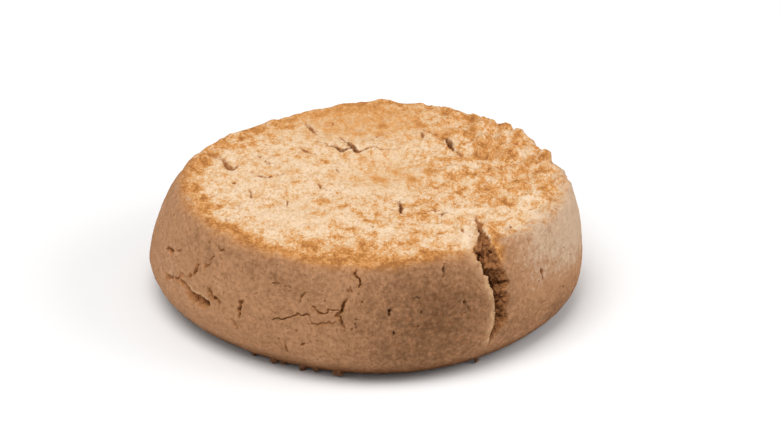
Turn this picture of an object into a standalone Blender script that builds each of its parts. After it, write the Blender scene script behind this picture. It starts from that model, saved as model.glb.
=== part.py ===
"""A snickerdoodle cookie at its real size: metres, +Z up, origin at the centre of its flat base.

The cookie is one thick puck of crumbly dough that rose more than it spread. It is widest low
down, leans in to a rounded shoulder, and rounds under to a flat base. A turned profile gives
that form, and functions push it out of round, tilt it, dish it and swell it as baking did.
One deep split runs from the top over the front rim and down the wall. It and the smaller
cracks are V-shaped trenches, cut by blades lofted along each crack's course.
"""

import math
from dataclasses import dataclass

import bmesh
import bpy
from mathutils import Euler, Vector, noise

MM = 0.001
NAME = "cookie"

# The turned form.
HEIGHT = 19.2 * MM
BELLY_RADIUS = 35.0 * MM
BELLY_HEIGHT = 6.6 * MM
RIM_RADIUS = 30.7 * MM
FOOT_RADIUS = 28.3 * MM
# Exponents of the two superellipse quarters: 2 is an ellipse, and 1 is a straight chamfer.
SHOULDER_ROUNDNESS = 1.45
FOOT_ROUNDNESS = 1.95

# How finely the form is turned.
STEPS_AROUND = 96
TOP_RINGS = 9
SHOULDER_RINGS = 10
FOOT_RINGS = 7
BASE_RINGS = 3

# The outline's waves: how many go round, height as a share of the radius, and a crest's azimuth.
BELLY_WAVES = ((2, 0.016, 25.0), (3, 0.009, 74.0), (4, 0.013, -1.0), (5, 0.004, 1.0))
RIM_WAVES = ((2, 0.012, 34.0), (3, 0.004, 72.0), (4, 0.009, -16.0))
BELLY_SHIFT = -0.45 * MM
RIM_SHIFT = 0.5 * MM
TOP_SLOPE_RIGHT = 0.015
TOP_SLOPE_BACK = 0.007

# The shallow dish in the top, behind the middle, and the low ridge along its back edge.
DISH_CENTRE = Vector((1.0 * MM, 2.0 * MM))
DISH_RADIUS = 13.0 * MM
DISH_DEPTH = 0.7 * MM
RIDGE_CENTRE = Vector((-0.5 * MM, 13.5 * MM))
RIDGE_REACH = Vector((9.0 * MM, 3.0 * MM))
RIDGE_HEIGHT = 0.5 * MM

# Soft swells over the whole skin.
SWELL_SIZE = 9.0 * MM
SWELL_HEIGHT = 0.35 * MM

# Lumps of dough on the back right rim: azimuth, radius of the lump, and how far it stands out.
RIM_LUMPS = ((86.0, 1.6 * MM, 0.25 * MM), (48.0, 2.2 * MM, 0.55 * MM), (37.0, 2.4 * MM, 0.6 * MM),
             (25.0, 2.2 * MM, 0.45 * MM))

# A blade starts this far outside the skin, so that it cuts clean through it.
BLADE_CLEARANCE = 1.0 * MM

DOUGH_COLOUR = (0.55, 0.32, 0.15, 1.0)
DOUGH_ROUGHNESS = 0.9
SHARP_ANGLE = math.radians(40.0)


@dataclass(frozen=True)
class Notch:
    """One place on a crack's course, in millimetres, and how wide and deep the crack is there.

    On the top, across is X and along is Y. On the wall, across is the azimuth in degrees and
    along is the height.
    """

    across: float
    along: float
    width: float
    depth: float


# The deep split, from its start on the top to its end low on the wall. It fans out from its heart.
SPLIT_HEART = Vector((11.0 * MM, -14.0 * MM, 7.0 * MM))
SPLIT_ON_TOP = (
    Notch(17.2, -11.8, 0.3, 0.6),
    Notch(17.3, -15.2, 1.3, 1.8),
    Notch(17.8, -19.0, 1.9, 3.0),
    Notch(17.7, -23.2, 3.0, 4.2),
)
SPLIT_ON_WALL = (
    Notch(307.4, 18.0, 3.7, 4.8),
    Notch(308.2, 16.0, 4.2, 5.0),
    Notch(309.9, 13.8, 3.8, 4.8),
    Notch(310.0, 11.3, 3.4, 4.4),
    Notch(309.6, 8.9, 2.8, 3.4),
    Notch(308.2, 7.4, 2.2, 2.2),
    Notch(306.4, 6.2, 0.9, 1.1),
    Notch(305.5, 5.1, 0.2, 0.4),
)

TOP_CRACKS = {
    "left_arc": (Notch(-27.6, 10.3, 0.4, 0.3), Notch(-25.2, 7.6, 1.0, 1.0),
                 Notch(-23.6, 4.6, 0.9, 0.9), Notch(-22.3, 5.8, 0.3, 0.3)),
    "back_crease": (Notch(-9.3, 14.6, 0.3, 0.3), Notch(-5.8, 12.0, 1.0, 1.0),
                    Notch(-3.2, 11.6, 1.3, 1.4), Notch(-0.2, 12.1, 0.6, 0.6), Notch(4.1, 12.5, 0.3, 0.3)),
    "back_left_tear": (Notch(-12.0, 22.4, 0.3, 0.3), Notch(-10.6, 20.1, 0.7, 0.7),
                       Notch(-9.1, 17.8, 0.3, 0.3)),
    "back_right_tear": (Notch(8.5, 20.0, 0.3, 0.3), Notch(11.0, 17.6, 0.8, 0.8),
                        Notch(12.8, 14.4, 1.5, 1.6), Notch(14.8, 10.2, 0.3, 0.3)),
    "front_nick": (Notch(3.9, -5.9, 0.3, 0.3), Notch(5.0, -8.4, 0.9, 1.0), Notch(4.9, -10.8, 0.3, 0.3)),
}

WALL_CRACKS = {
    "left_upper": (Notch(216.5, 14.6, 0.3, 0.3), Notch(215.8, 13.3, 0.7, 0.7), Notch(214.4, 11.6, 0.3, 0.3)),
    "left_lower": (Notch(203.8, 8.8, 0.3, 0.3), Notch(208.8, 9.6, 0.8, 0.7), Notch(212.2, 10.8, 0.3, 0.3)),
    "left_flake": (Notch(213.2, 10.0, 0.5, 0.4), Notch(217.8, 8.9, 1.6, 0.8), Notch(223.2, 9.4, 0.5, 0.4)),
    "front_left": (Notch(234.2, 11.2, 0.3, 0.3), Notch(234.3, 9.8, 0.8, 0.9), Notch(234.6, 8.5, 0.3, 0.3)),
    "front_fork_upper": (Notch(264.2, 15.7, 0.3, 0.3), Notch(262.6, 13.6, 1.0, 1.1),
                         Notch(262.6, 12.4, 0.5, 0.6), Notch(264.7, 10.4, 0.3, 0.3)),
    "front_fork_side": (Notch(254.5, 13.4, 0.3, 0.3), Notch(258.5, 12.9, 0.6, 0.6),
                        Notch(262.2, 13.4, 0.5, 0.5)),
    "right_slit": (Notch(326.2, 13.6, 0.3, 0.3), Notch(325.9, 11.8, 0.6, 0.6), Notch(326.0, 10.0, 0.3, 0.3)),
}


def share(value, low, high):
    """Where value lies from low to high, held within 0 and 1."""
    return min(max((value - low) / (high - low), 0.0), 1.0)


def superellipse(reach, exponent):
    """How far out a superellipse quarter still is, from 1 to 0, at this share of its height."""
    return (1.0 - reach**exponent) ** (1.0 / exponent)


def wall_radius(height):
    """The turned form's radius at a height on the wall."""
    if height >= BELLY_HEIGHT:
        out = superellipse(share(height, BELLY_HEIGHT, HEIGHT), SHOULDER_ROUNDNESS)
        return RIM_RADIUS + (BELLY_RADIUS - RIM_RADIUS) * out
    out = superellipse(share(height, BELLY_HEIGHT, 0.0), FOOT_ROUNDNESS)
    return FOOT_RADIUS + (BELLY_RADIUS - FOOT_RADIUS) * out


def quarter_arc(count, exponent):
    """(out, up) shares of a superellipse quarter from its tip down to its side, without the tip."""
    angles = [math.pi / 2 * (1 - step / count) for step in range(1, count + 1)]
    return [(abs(math.cos(a)) ** (2 / exponent), abs(math.sin(a)) ** (2 / exponent)) for a in angles]


def turned_profile():
    """(radius, height) from the middle of the top, down the outer side, to the middle of the base."""
    shoulder_width = BELLY_RADIUS - RIM_RADIUS
    shoulder_height = HEIGHT - BELLY_HEIGHT
    foot_width = BELLY_RADIUS - FOOT_RADIUS
    points = [(RIM_RADIUS * ring / TOP_RINGS, HEIGHT) for ring in range(TOP_RINGS + 1)]
    for out, up in quarter_arc(SHOULDER_RINGS, SHOULDER_ROUNDNESS):
        points.append((RIM_RADIUS + shoulder_width * out, BELLY_HEIGHT + shoulder_height * up))
    for out, up in reversed(quarter_arc(FOOT_RINGS, FOOT_ROUNDNESS)[:-1]):
        points.append((FOOT_RADIUS + foot_width * out, BELLY_HEIGHT * (1 - up)))
    points += [(FOOT_RADIUS * (1 - ring / BASE_RINGS), 0.0) for ring in range(BASE_RINGS + 1)]
    return points


def waves(azimuth, table):
    """The outline's stray from a circle at an azimuth, as a share of the radius."""
    return sum(height * math.cos(count * (azimuth - math.radians(crest))) for count, height, crest in table)


def bump(distance, reach):
    """A smooth hill of height 1 that ends at its reach."""
    return (1.0 - share(distance, 0.0, reach) ** 2) ** 2


def top_relief(x, y):
    """How far the top stands above its plane at a place on it."""
    place = Vector((x, y))
    dish = DISH_DEPTH * bump((place - DISH_CENTRE).length, DISH_RADIUS)
    from_ridge = place - RIDGE_CENTRE
    ridge = RIDGE_HEIGHT * bump(math.hypot(from_ridge.x / RIDGE_REACH.x, from_ridge.y / RIDGE_REACH.y), 1.0)
    return ridge - dish


def baked(azimuth, radius, height):
    """The place on the baked cookie of a place on the turned form."""
    rise = share(height, BELLY_HEIGHT, HEIGHT)
    fall = share(height, BELLY_HEIGHT, 0.0)
    factor = 1.0 + waves(azimuth, BELLY_WAVES) + rise * waves(azimuth, RIM_WAVES)
    x = radius * factor * math.cos(azimuth) + rise * RIM_SHIFT + (1 - rise) * (1 - fall) * BELLY_SHIFT
    y = radius * factor * math.sin(azimuth)
    lift = height / HEIGHT
    z = height + lift * (TOP_SLOPE_RIGHT * x + TOP_SLOPE_BACK * y)
    if height >= HEIGHT:
        z += top_relief(x, y)
    smooth = Vector((x, y, z))
    outward = Vector((x / BELLY_RADIUS, y / BELLY_RADIUS, rise)).normalized()
    stand = SWELL_HEIGHT * noise.noise(smooth / SWELL_SIZE) * lift
    for lump_azimuth, lump_radius, lump_stand in RIM_LUMPS:
        centre = Vector((RIM_RADIUS, 0.0, HEIGHT))
        centre.rotate(Euler((0.0, 0.0, math.radians(lump_azimuth))))
        stand += lump_stand * bump((smooth - centre).length, 2 * lump_radius)
    return smooth + outward * stand


def on_top(notch):
    """A notch's place on the top, and the way out of the skin there."""
    x = notch.across * MM - RIM_SHIFT
    y = notch.along * MM
    azimuth = math.atan2(y, x)
    factor = 1.0 + waves(azimuth, BELLY_WAVES) + waves(azimuth, RIM_WAVES)
    return baked(azimuth, math.hypot(x, y) / factor, HEIGHT), Vector((0.0, 0.0, 1.0))


def on_wall(notch):
    """A notch's place on the wall, and the way out of the skin there."""
    azimuth = math.radians(notch.across)
    height = notch.along * MM
    step = 0.5 * MM
    lean = (wall_radius(height - step) - wall_radius(height + step)) / (2 * step)
    way_out = Vector((math.cos(azimuth), math.sin(azimuth), lean)).normalized()
    return baked(azimuth, wall_radius(height), height), way_out


def principled(name, colour, roughness):
    """A plain finish."""
    material = bpy.data.materials.new(name)
    material.use_nodes = True
    shader = material.node_tree.nodes["Principled BSDF"]
    shader.inputs["Base Color"].default_value = colour
    shader.inputs["Roughness"].default_value = roughness
    shader.inputs["Metallic"].default_value = 0.0
    return material


def new_collection(name):
    """An empty collection in the scene."""
    collection = bpy.data.collections.new(name)
    bpy.context.scene.collection.children.link(collection)
    return collection


def turned_mesh(collection):
    """The profile turned once round by a Screw modifier, as a mesh of its own."""
    profile = bpy.data.meshes.new("profile")
    points = turned_profile()
    edges = [(index, index + 1) for index in range(len(points) - 1)]
    profile.from_pydata([(radius, 0.0, height) for radius, height in points], edges, [])
    turner = bpy.data.objects.new("profile", profile)
    collection.objects.link(turner)
    screw = turner.modifiers.new("Turn", "SCREW")
    screw.axis = "Z"
    screw.steps = STEPS_AROUND
    screw.render_steps = STEPS_AROUND
    screw.use_merge_vertices = True
    screw.merge_threshold = 0.01 * MM
    graph = bpy.context.evaluated_depsgraph_get()
    mesh = bpy.data.meshes.new_from_object(turner.evaluated_get(graph))
    bpy.data.objects.remove(turner)
    return mesh


def bake_cookie(collection):
    """The cookie before it cracks."""
    mesh = turned_mesh(collection)
    mesh.name = NAME
    shape = bmesh.new()
    shape.from_mesh(mesh)
    bmesh.ops.remove_doubles(shape, verts=shape.verts, dist=0.01 * MM)
    for vertex in shape.verts:
        x, y, height = vertex.co
        vertex.co = baked(math.atan2(y, x), math.hypot(x, y), height)
    bmesh.ops.recalc_face_normals(shape, faces=shape.faces)
    shape.to_mesh(mesh)
    shape.free()
    cookie = bpy.data.objects.new(NAME, mesh)
    collection.objects.link(cookie)
    mesh.materials.clear()
    mesh.materials.append(principled("dough", DOUGH_COLOUR, DOUGH_ROUGHNESS))
    mesh.shade_smooth()
    mesh.set_sharp_from_angle(angle=SHARP_ANGLE)
    return cookie


def blade_sections(course):
    """The blade's V at each notch of a course of (notch, place, way out): left, right and tip."""
    sections = []
    last = len(course) - 1
    for index, (notch, place, way_out) in enumerate(course):
        onward = course[min(index + 1, last)][1] - course[max(index - 1, 0)][1]
        sideways = onward.cross(way_out).normalized()
        half = sideways * notch.width * MM / 2
        # The V widens at the same slope up to the blade's outer edge.
        spread = 1.0 + BLADE_CLEARANCE / (notch.depth * MM)
        outer = place + way_out * BLADE_CLEARANCE
        tip = place - way_out * notch.depth * MM
        sections.append((outer - half * spread, outer + half * spread, tip))
    return sections


def add_blade(name, course, collection):
    """A closed cutter lofted through the sections of one crack."""
    shape = bmesh.new()
    rings = []
    for section in blade_sections(course):
        corners = [shape.verts.new(corner) for corner in section]
        rings.append([shape.edges.new((corners[side], corners[side - 1])) for side in range(len(corners))])
    for ring, following in zip(rings, rings[1:]):
        bmesh.ops.bridge_loops(shape, edges=ring + following)
    bmesh.ops.holes_fill(shape, edges=rings[0] + rings[-1])
    bmesh.ops.triangulate(shape, faces=shape.faces)
    bmesh.ops.recalc_face_normals(shape, faces=shape.faces)
    mesh = bpy.data.meshes.new(name)
    shape.to_mesh(mesh)
    shape.free()
    blade = bpy.data.objects.new(name, mesh)
    blade.display_type = "WIRE"
    blade.hide_render = True
    collection.objects.link(blade)
    return blade


def crack(cookie, blade):
    """Cuts one blade's trench out of the cookie."""
    cut = cookie.modifiers.new(blade.name, "BOOLEAN")
    cut.operation = "DIFFERENCE"
    cut.solver = "EXACT"
    cut.object = blade


def courses():
    """(name, course) of every crack, the deep split first."""
    split = [(notch, on_top(notch)[0]) for notch in SPLIT_ON_TOP]
    split += [(notch, on_wall(notch)[0]) for notch in SPLIT_ON_WALL]
    found = [("split", [(notch, place, (place - SPLIT_HEART).normalized()) for notch, place in split])]
    for cracks, place_on_skin in ((TOP_CRACKS, on_top), (WALL_CRACKS, on_wall)):
        for name, notches in cracks.items():
            found.append((name, [(notch, *place_on_skin(notch)) for notch in notches]))
    return found


def main():
    """Clears the scene, bakes the cookie and cracks it."""
    for existing in list(bpy.data.objects):
        bpy.data.objects.remove(existing)
    cookie = bake_cookie(new_collection("snickerdoodle"))
    cutters = new_collection("cutters")
    for name, course in courses():
        crack(cookie, add_blade(f"cut_{name}", course, cutters))


main()
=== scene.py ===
"""The looks of a snickerdoodle cookie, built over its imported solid.

The cookie is a thick puck of crumbly dough: a pale top toasted in mottled patches, a tan wall
with small cracks and pores, and one deep split through the front rim. Lengths are in metres,
+Z is up, and the origin is the centre of the flat base.
"""

import logging
import math
from collections.abc import Iterable, Sequence
from dataclasses import dataclass, field
from enum import Enum

import bmesh
import bpy
import numpy as np
from mathutils import Matrix, Vector, noise


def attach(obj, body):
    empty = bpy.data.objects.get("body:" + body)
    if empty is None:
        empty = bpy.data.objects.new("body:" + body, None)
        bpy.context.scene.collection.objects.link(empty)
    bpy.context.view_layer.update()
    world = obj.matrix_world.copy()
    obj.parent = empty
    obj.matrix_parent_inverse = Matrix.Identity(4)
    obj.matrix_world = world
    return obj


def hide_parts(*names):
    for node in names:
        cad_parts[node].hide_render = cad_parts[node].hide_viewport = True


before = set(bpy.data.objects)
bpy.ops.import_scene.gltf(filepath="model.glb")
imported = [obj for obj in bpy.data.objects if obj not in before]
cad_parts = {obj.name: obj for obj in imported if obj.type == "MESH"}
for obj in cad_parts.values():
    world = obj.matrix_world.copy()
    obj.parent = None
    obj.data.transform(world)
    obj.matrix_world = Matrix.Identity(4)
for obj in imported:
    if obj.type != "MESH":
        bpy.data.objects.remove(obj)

MM = 0.001
TOP = math.pi / 2
LOG = logging.getLogger("snickerdoodle")
NOISE_SEED = 1

Array = np.ndarray
Colour = tuple[float, float, float]


class Side(Enum):
    """The side of the cookie that a mark is on."""

    TOP = "top"
    WALL = "wall"


def share(value: Array, low: float, high: float) -> Array:
    """Where each value lies from low to high, held within 0 and 1.

    Args:
        value: The values.
        low: The value that gives 0.
        high: The value that gives 1.

    Returns:
        One share for each value.
    """
    return np.clip((value - low) / (high - low), 0.0, 1.0)


def eased(value: Array, low: float, high: float) -> Array:
    """A share that starts and ends softly.

    Args:
        value: The values.
        low: The value that gives 0.
        high: The value that gives 1.

    Returns:
        One eased share for each value.
    """
    straight = share(value, low, high)
    return straight * straight * (3.0 - 2.0 * straight)


def between(first: float, second: float, along: Array) -> Array:
    """What lies between two numbers at each share of the way from the first to the second."""
    return first + (second - first) * along


def hill(distance: Array, reach: float = 1.0) -> Array:
    """A smooth hill, 1 at its middle and 0 from its reach outwards.

    Args:
        distance: How far each place is from the middle.
        reach: How far the hill goes.

    Returns:
        The hill's height at each place.
    """
    return (1.0 - share(distance, 0.0, reach) ** 2) ** 2


def unit(vectors: Array) -> Array:
    """The vectors at length 1, one for each row."""
    return vectors / np.maximum(np.linalg.norm(vectors, axis=-1, keepdims=True), 1e-12)


def grain_at(places: Array, size: float, offset: float = 0.0) -> Array:
    """Soft noise, from about -1 to 1.

    Args:
        places: One place for each row.
        size: The size of the noise's features.
        offset: A shift that gives a different noise of the same size.

    Returns:
        The noise at each place.
    """
    return np.array([noise.noise(place) for place in (places / size + offset).tolist()])


def wander_at(places: Array, size: float, reach: float) -> Array:
    """A small step in a direction that changes softly from place to place.

    Args:
        places: One place for each row.
        size: The distance over which the step changes.
        reach: The step's length, about.

    Returns:
        One step for each place.
    """
    return reach * np.array([noise.noise_vector(place) for place in (places / size).tolist()])


def lumps_at(places: Array, size: float, offset: float = 0.0) -> Array:
    """Round lumps with creases between them, from 0 in a crease to about 1.

    Args:
        places: One place for each row.
        size: The size of the lumps.
        offset: A shift that gives other lumps of the same size.

    Returns:
        The height at each place.
    """
    return 2.0 * np.abs(grain_at(places, size, offset))


def vertex_places(shape: bmesh.types.BMesh) -> Array:
    """The place of every vertex, one for each row."""
    return np.array([vertex.co[:] for vertex in shape.verts])


def read(items: bpy.types.bpy_prop_collection, key: str, kind: type = np.float32, width: int = 1) -> Array:
    """One number or vector of every item of a mesh.

    Args:
        items: The mesh's vertices, loops or attribute values.
        key: What is read.
        kind: The type of the numbers.
        width: How many numbers each item has.

    Returns:
        One number for each item, or one row of them.
    """
    found = np.empty(len(items) * width, kind)
    items.foreach_get(key, found)
    return found if width == 1 else found.reshape(-1, width)


def add_object(name: str, shape: bmesh.types.BMesh, material: bpy.types.Material) -> bpy.types.Object:
    """Makes an object from a shape, and frees the shape.

    Args:
        name: The object's name.
        shape: Its shape.
        material: Its finish.

    Returns:
        The object, in the scene.
    """
    mesh = bpy.data.meshes.new(name)
    shape.to_mesh(mesh)
    shape.free()
    mesh.materials.append(material)
    made = bpy.data.objects.new(name, mesh)
    bpy.context.scene.collection.objects.link(made)
    return made


def split_facets(shape: bmesh.types.BMesh, edges: list[bmesh.types.BMEdge]) -> None:
    """Cuts edges in half and makes every facet a triangle again, so one with all edges cut becomes four."""
    bmesh.ops.subdivide_edges(shape, edges=edges, cuts=1, use_grid_fill=True)
    bmesh.ops.triangulate(shape, faces=[face for face in shape.faces if len(face.verts) > 3])


@dataclass(frozen=True)
class Wave:
    """One wave of the outline.

    Attributes:
        count: How many of it go round.
        height: Its height as a share of the radius.
        crest: A crest's azimuth, in degrees.
    """

    count: int
    height: float
    crest: float


@dataclass(frozen=True)
class Lump:
    """A round lump of dough on the rim.

    Attributes:
        azimuth: Where it is, in degrees.
        radius: Its radius.
        stand: How far it stands out.
    """

    azimuth: float
    radius: float
    stand: float


@dataclass(frozen=True)
class Form:
    """The cookie's form before it cracked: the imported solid's own, with one more lump on the left."""

    height: float = 19.2 * MM
    belly_radius: float = 35.0 * MM
    belly_height: float = 6.6 * MM
    rim_radius: float = 30.7 * MM
    foot_radius: float = 28.3 * MM
    shoulder_roundness: float = 1.45
    foot_roundness: float = 1.95
    belly_waves: tuple[Wave, ...] = (
        Wave(2, 0.016, 25.0), Wave(3, 0.009, 74.0), Wave(4, 0.013, -1.0), Wave(5, 0.004, 1.0))
    rim_waves: tuple[Wave, ...] = (Wave(2, 0.012, 34.0), Wave(3, 0.004, 72.0), Wave(4, 0.009, -16.0))
    belly_shift: float = -0.45 * MM
    rim_shift: float = 0.5 * MM
    slope_right: float = 0.015
    slope_back: float = 0.007
    dish_centre: tuple[float, float] = (1.0 * MM, 2.0 * MM)
    dish_radius: float = 13.0 * MM
    dish_depth: float = 0.7 * MM
    ridge_centre: tuple[float, float] = (-0.5 * MM, 13.5 * MM)
    ridge_reach: tuple[float, float] = (9.0 * MM, 3.0 * MM)
    ridge_height: float = 0.5 * MM
    swell_size: float = 9.0 * MM
    swell_height: float = 0.35 * MM
    lumps: tuple[Lump, ...] = (
        Lump(86.0, 1.6 * MM, 0.25 * MM), Lump(48.0, 2.2 * MM, 0.55 * MM),
        Lump(37.0, 2.4 * MM, 0.6 * MM), Lump(25.0, 2.2 * MM, 0.45 * MM), Lump(165.0, 1.5 * MM, 0.35 * MM))
    steps: int = 240

    def profile(self) -> tuple[Array, Array, Array, Array]:
        """The half outline, from the middle of the top to the middle of the base.

        Returns:
            The radius, the height, the run along the outline, and the share of the skin's
            area that lies inside it, at each step.
        """
        turn = np.linspace(TOP, 0.0, self.steps)
        shoulder = np.abs(np.cos(turn)) ** (2 / self.shoulder_roundness)
        shoulder_up = np.abs(np.sin(turn)) ** (2 / self.shoulder_roundness)
        foot = np.abs(np.cos(turn[::-1])) ** (2 / self.foot_roundness)
        foot_down = np.abs(np.sin(turn[::-1])) ** (2 / self.foot_roundness)
        flat = np.linspace(0.0, 1.0, self.steps)
        radius = np.concatenate([
            self.rim_radius * flat[:-1],
            self.rim_radius + (self.belly_radius - self.rim_radius) * shoulder,
            (self.foot_radius + (self.belly_radius - self.foot_radius) * foot)[1:],
            (self.foot_radius * flat[::-1])[1:]])
        height = np.concatenate([
            np.full(self.steps - 1, self.height),
            self.belly_height + (self.height - self.belly_height) * shoulder_up,
            (self.belly_height * (1.0 - foot_down))[1:],
            np.zeros(self.steps - 1)])
        step = np.hypot(np.diff(radius), np.diff(height))
        run = np.concatenate([[0.0], np.cumsum(step)])
        area = np.concatenate([[0.0], np.cumsum(step * (radius[1:] + radius[:-1]))])
        return radius, height, run, area / area[-1]

    def run_of(self, ways: Array) -> Array:
        """How far along the outline a direction from the middle leads.

        Args:
            ways: One unit vector for each row.

        Returns:
            The run from the middle of the top, so that equal solid angles give equal areas.
        """
        _, _, run, area = self.profile()
        return np.interp((1.0 - ways[:, 2]) / 2, area, run)

    def outline(self, azimuth: Array, waves: Iterable[Wave]) -> Array:
        """How far the outline strays from a circle, as a share of the radius.

        Args:
            azimuth: Azimuths in radians.
            waves: The waves that go round it.

        Returns:
            The stray at each azimuth.
        """
        strays = [wave.height * np.cos(wave.count * (azimuth - math.radians(wave.crest))) for wave in waves]
        return np.sum(strays, axis=0)

    def top_relief(self, x: Array, y: Array) -> Array:
        """How far the top stands above its plane.

        Args:
            x: Places across.
            y: Places along.

        Returns:
            The height of the dish and the ridge together at each place.
        """
        dish = hill(np.hypot(x - self.dish_centre[0], y - self.dish_centre[1]), self.dish_radius)
        across = (x - self.ridge_centre[0]) / self.ridge_reach[0]
        along = (y - self.ridge_centre[1]) / self.ridge_reach[1]
        return self.ridge_height * hill(np.hypot(across, along)) - self.dish_depth * dish

    def baked(self, azimuth: Array, radius: Array, height: Array) -> Array:
        """The places on the baked cookie of places on the turned form.

        Args:
            azimuth: Azimuths in radians.
            radius: Radii on the turned form.
            height: Heights on the turned form.

        Returns:
            One place for each row.
        """
        rise = share(height, self.belly_height, self.height)
        fall = share(height, self.belly_height, 0.0)
        factor = 1.0 + self.outline(azimuth, self.belly_waves) + rise * self.outline(azimuth, self.rim_waves)
        x = radius * factor * np.cos(azimuth)
        x += rise * self.rim_shift + (1.0 - rise) * (1.0 - fall) * self.belly_shift
        y = radius * factor * np.sin(azimuth)
        lift = height / self.height
        z = height + lift * (self.slope_right * x + self.slope_back * y)
        z += np.where(height >= self.height, self.top_relief(x, y), 0.0)
        smooth = np.stack([x, y, z], axis=-1)
        outward = unit(np.stack([x / self.belly_radius, y / self.belly_radius, rise], axis=-1))
        stand = self.swell_height * grain_at(smooth, self.swell_size) * lift
        for lump in self.lumps:
            angle = math.radians(lump.azimuth)
            centre = (self.rim_radius * math.cos(angle), self.rim_radius * math.sin(angle), self.height)
            stand += lump.stand * hill(np.linalg.norm(smooth - centre, axis=-1), 2 * lump.radius)
        return smooth + outward * stand[:, None]

    def places(self, ways: Array) -> Array:
        """The places on the baked cookie that directions from its middle lead to.

        Args:
            ways: One unit vector for each row.

        Returns:
            One place for each row.
        """
        radius, height, run, _ = self.profile()
        along = self.run_of(ways)
        azimuth = np.arctan2(ways[:, 1], ways[:, 0])
        return self.baked(azimuth, np.interp(along, run, radius), np.interp(along, run, height))

    def ways_out(self, ways: Array, step: float = 0.008) -> Array:
        """The way out of the skin where directions from the middle lead.

        Args:
            ways: One unit vector for each row.
            step: How far apart the places are that show the slope, in radians.

        Returns:
            One unit vector for each row.
        """
        beside = np.where(np.abs(ways[:, 2:]) < 0.9, (0.0, 0.0, 1.0), (1.0, 0.0, 0.0))
        first = np.cross(beside, ways)
        first *= step / np.linalg.norm(first, axis=1, keepdims=True)
        second = np.cross(ways, first)
        slopes = [
            self.places(unit(ways + turn)) - self.places(unit(ways - turn)) for turn in (first, second)]
        return unit(np.cross(*slopes))

    def on_side(self, side: Side, across: float, along: float) -> Array:
        """The place of a mark.

        Args:
            side: The side that it is on.
            across: X in millimetres on the top, or the azimuth in degrees on the wall.
            along: Y in millimetres on the top, or the profile's height on the wall.

        Returns:
            The place.
        """
        if side is Side.TOP:
            x, y = across * MM - self.rim_shift, along * MM
            azimuth, radius, height = math.atan2(y, x), math.hypot(x, y), self.height
            rim = self.outline(np.array([azimuth]), self.belly_waves + self.rim_waves)
            radius /= 1.0 + float(rim[0])
        else:
            azimuth, height = math.radians(across), along * MM
            radii, heights, _, _ = self.profile()
            radius = float(np.interp(-height, -heights[self.steps:], radii[self.steps:]))
        return self.baked(np.array([azimuth]), np.array([radius]), np.array([height]))[0]


@dataclass(frozen=True)
class Notch:
    """One place on a crack's course, in millimetres.

    Attributes:
        across: X on the top, or the azimuth in degrees on the wall.
        along: Y on the top, or the height on the wall.
        width: How wide the crack is there.
        depth: How deep it is there.
        deepest: Where its bottom lies, from -1 at its left lip to 1 at its right one.
    """

    across: float
    along: float
    width: float = 0.5
    depth: float = 0.5
    deepest: float = 0.0


@dataclass
class Cut:
    """What the cracks and pits do to each place on the skin.

    Attributes:
        sink: How far each place sinks in.
        shift: How far each place is pushed aside.
        gap: How far each place is from the nearest crack or pit, 0 inside one.
        lip: How much painted highlight each place has along a crack's lip, from 0 to 1.
        torn: How much each place is inside the deep split, from 0 to 1.
        cleft_shade: How much painted shade each place has inside any crack or pit, from 0 up, more where it
            is deeper.
    """

    sink: Array
    shift: Array
    gap: Array
    lip: Array
    torn: Array
    cleft_shade: Array

    @classmethod
    def none(cls, count: int) -> "Cut":
        """The state of places before anything is cut."""
        sink, lip, torn, cleft_shade = np.zeros((4, count))
        return cls(sink, np.zeros((count, 3)), np.full(count, 1.0), lip, torn, cleft_shade)


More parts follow.
